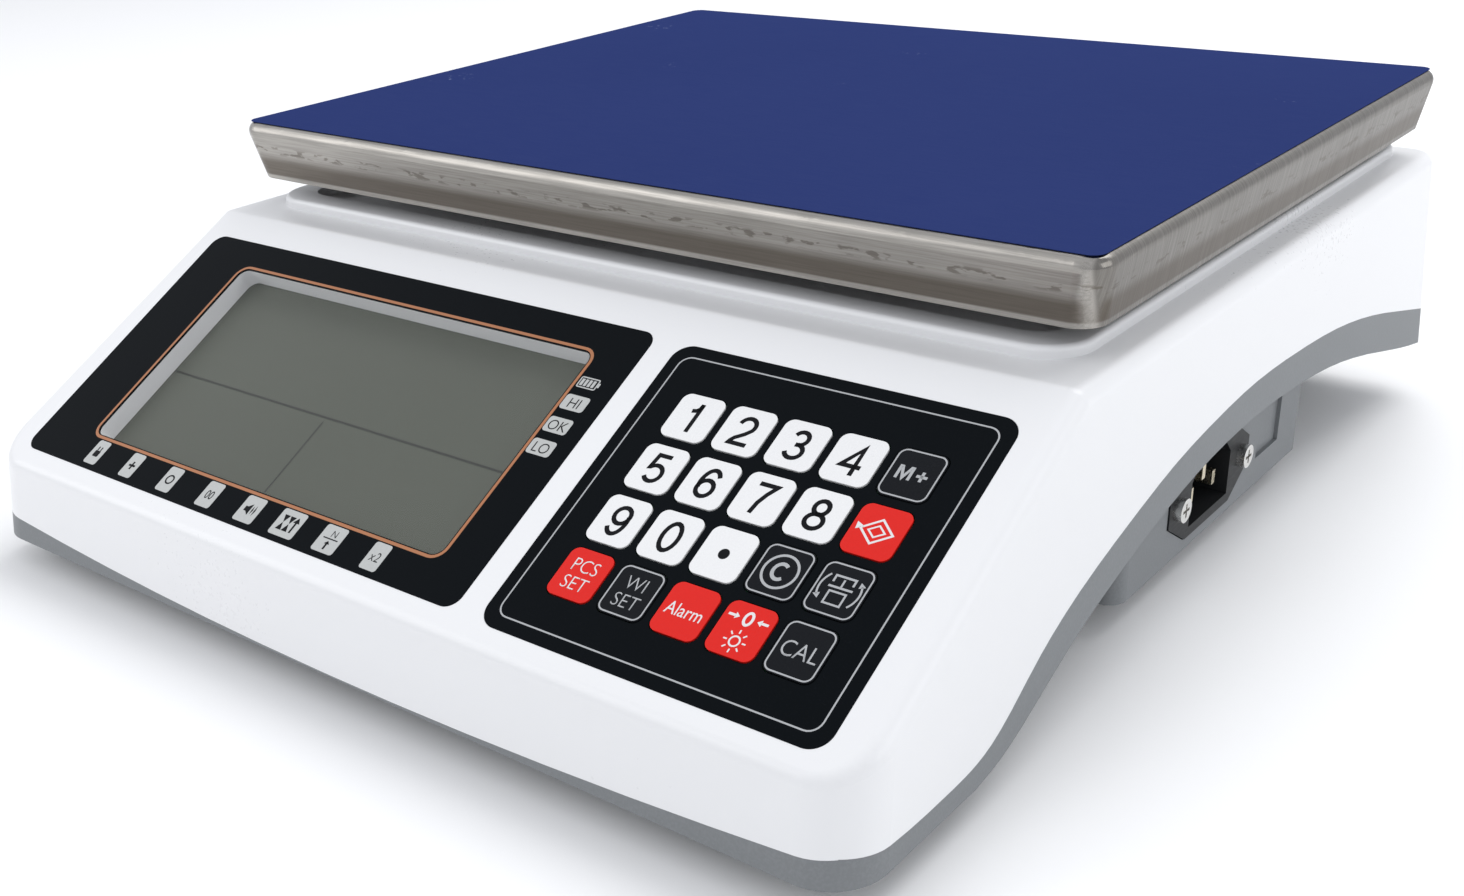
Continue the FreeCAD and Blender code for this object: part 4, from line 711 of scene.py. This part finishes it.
def zero_light(bm, u, v):
    """The zero key, which also turns on the backlight."""
    stroke(bm, arc(u, v + 2.9, 0.95, 0, 340, 17, tall=1.5), 0.65,
           closed=True)
    for side in (-1, 1):
        stroke(bm, [(u + side * 5.0, v + 2.9), (u + side * 3.2, v + 2.9)],
               0.6)
        patch(bm, (u + side * 2.2, v + 2.9), (u + side * 3.3, v + 3.7),
              (u + side * 3.3, v + 2.1))
    stroke(bm, arc(u, v - 2.7, 1.2, 0, 340, 17), 0.4, closed=True)
    for ray in range(8):
        stroke(bm, [on_circle(u, v - 2.7, 1.9, ray * 45),
                    on_circle(u, v - 2.7, 2.8, ray * 45)], 0.35)


rows = [[digit("1"), digit("2"), digit("3"), digit("4"), memory_add],
        [digit("5"), digit("6"), digit("7"), digit("8"), sample],
        [digit("9"), digit("0"), point, clear, tare],
        [two_words("PCS", "SET"), two_words("WI", "SET"),
         word("Alarm", 3.3, wide=0.86), zero_light,
         word("CAL", 4.0, bold=-0.005)]]
red_places = {(1, 4), (3, 0), (3, 2), (3, 3)}
black_places = {(0, 4), (2, 3), (2, 4), (3, 1), (3, 4)}
for row, legends in enumerate(rows):
    for column, draw in enumerate(legends):
        number = row * len(legends) + column + 1
        u = key_u + column * pitch_u
        v = key_v - row * pitch_v
        bm = bmesh.new()
        draw(bm, u, v)
        paint, print_ink, slot = white_key, dark_ink, "black_print"
        if (row, column) in red_places:
            paint, print_ink, slot = red_key, white_ink, "key_white"
        if (row, column) in black_places:
            paint, print_ink, slot = black_key, silver_ink, "key_white"
            rounded(bm, u - key_half_u + edge_in, u + key_half_u - edge_in,
                    v - key_half_v + edge_in, v + key_half_v - edge_in,
                    key_corner - 0.2, line=0.36)
        paint.on("key_%02d" % number)
        printed("legend_%02d" % number, bm, key_top, print_ink,
                "button_%02d" % number)

# ---------------------------------------------------------- weighing pan
# Drawn from brushed stainless sheet.  The grain runs across the pan and
# down its ends, and the four corners are welded and polished bright.
steel = Finish("brushed_stainless", (0.41, 0.39, 0.36), 0.30, Metallic=1.0)
low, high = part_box("pan")
half_x, mid_y = high.x, (low.y + high.y) / 2
half_y = high.y - mid_y
x, y, z = steel.axes()
end_band, corner_reach = 3.0 * mm, 7 * mm
# end_face picks out the pan's two ends. It turns the grain down them, and
# further on it also paints them darker than the front and back, a painted
# shade.
end_face = abs(x).step(half_x - end_band - 0.5 * mm,
                       half_x - end_band + 0.5 * mm)
grain_z = z * (2400 - 2340 * end_face)
grain_vector = steel.node("ShaderNodeCombineXYZ", {}, x * 55, y * 2400,
                          grain_z)
brush = steel.noise(1.0, 3, grain_vector)
corner = (abs(x).step(half_x - corner_reach, half_x - end_band)
          * abs(y - mid_y).step(half_y - corner_reach, half_y - end_band))
swirl = steel.noise(260, 3)
skirt_share = (z - low.z) / (high.z - low.z)
# Painted dark reflection: a band over the lower part of the skirt, away from
# the corners, is painted dark brown where the skirt mirrors the shaded deck
# under the pan.
shade = ((1 - skirt_share.step(0.30, 0.52)) * skirt_share.step(0.06, 0.10)
         * (1 - corner))
stain_line = 1 - abs(skirt_share - 0.56).step(0.03, 0.10)
stains = steel.noise(1.0, 3, steel.stretched(230, 230, 700)).step(0.54, 0.62)
# The dark brown takes both the real stains and the painted dark reflection
# band.
steel.drive("Base Color", steel.tint(
    shade * 0.80 + stain_line * stains * 0.55, (0.10, 0.082, 0.064),
    steel.tint(end_face * 0.75 + brush.step(0.3, 0.75) * 0.4,
               (0.19, 0.18, 0.165))))
steel.drive("Roughness", (0.30 + brush * 0.16) * (1 - corner)
            + (0.10 + swirl * 0.10) * corner)
steel.emboss(brush * (1 - corner) + swirl * corner, 0.00003, 0.6)
steel.on("pan")

# ------------------------------------------------------- protective film
# The pan is sold under a deep blue peel-off film.  It is slightly pebbled
# and shows a few pale scuffs from handling.
film = Finish("blue_film", (0.018, 0.030, 0.118), 0.50,
              Specular_IOR_Level=0.0)
pebbled = film.noise(1300, 3)
faded = film.noise(9, 2)
threads = film.noise(1.0, 2, film.stretched(90, 1800, 1))
scuff_spots = film.noise(28, 1).step(0.70, 0.78)
scuffs = film.noise(520, 3).step(0.62, 0.70) * scuff_spots
film.drive("Base Color", film.tint(
    scuffs * 0.35 + threads * 0.03,
    (0.30, 0.36, 0.55), film.tint(pebbled * 0.5 + faded * 0.5,
                                  (0.024, 0.038, 0.140))))
film.drive("Roughness", 0.40 + pebbled * 0.14)
film.emboss(pebbled + threads * 0.3, 0.00002, 0.5)
film.on("pan_film")
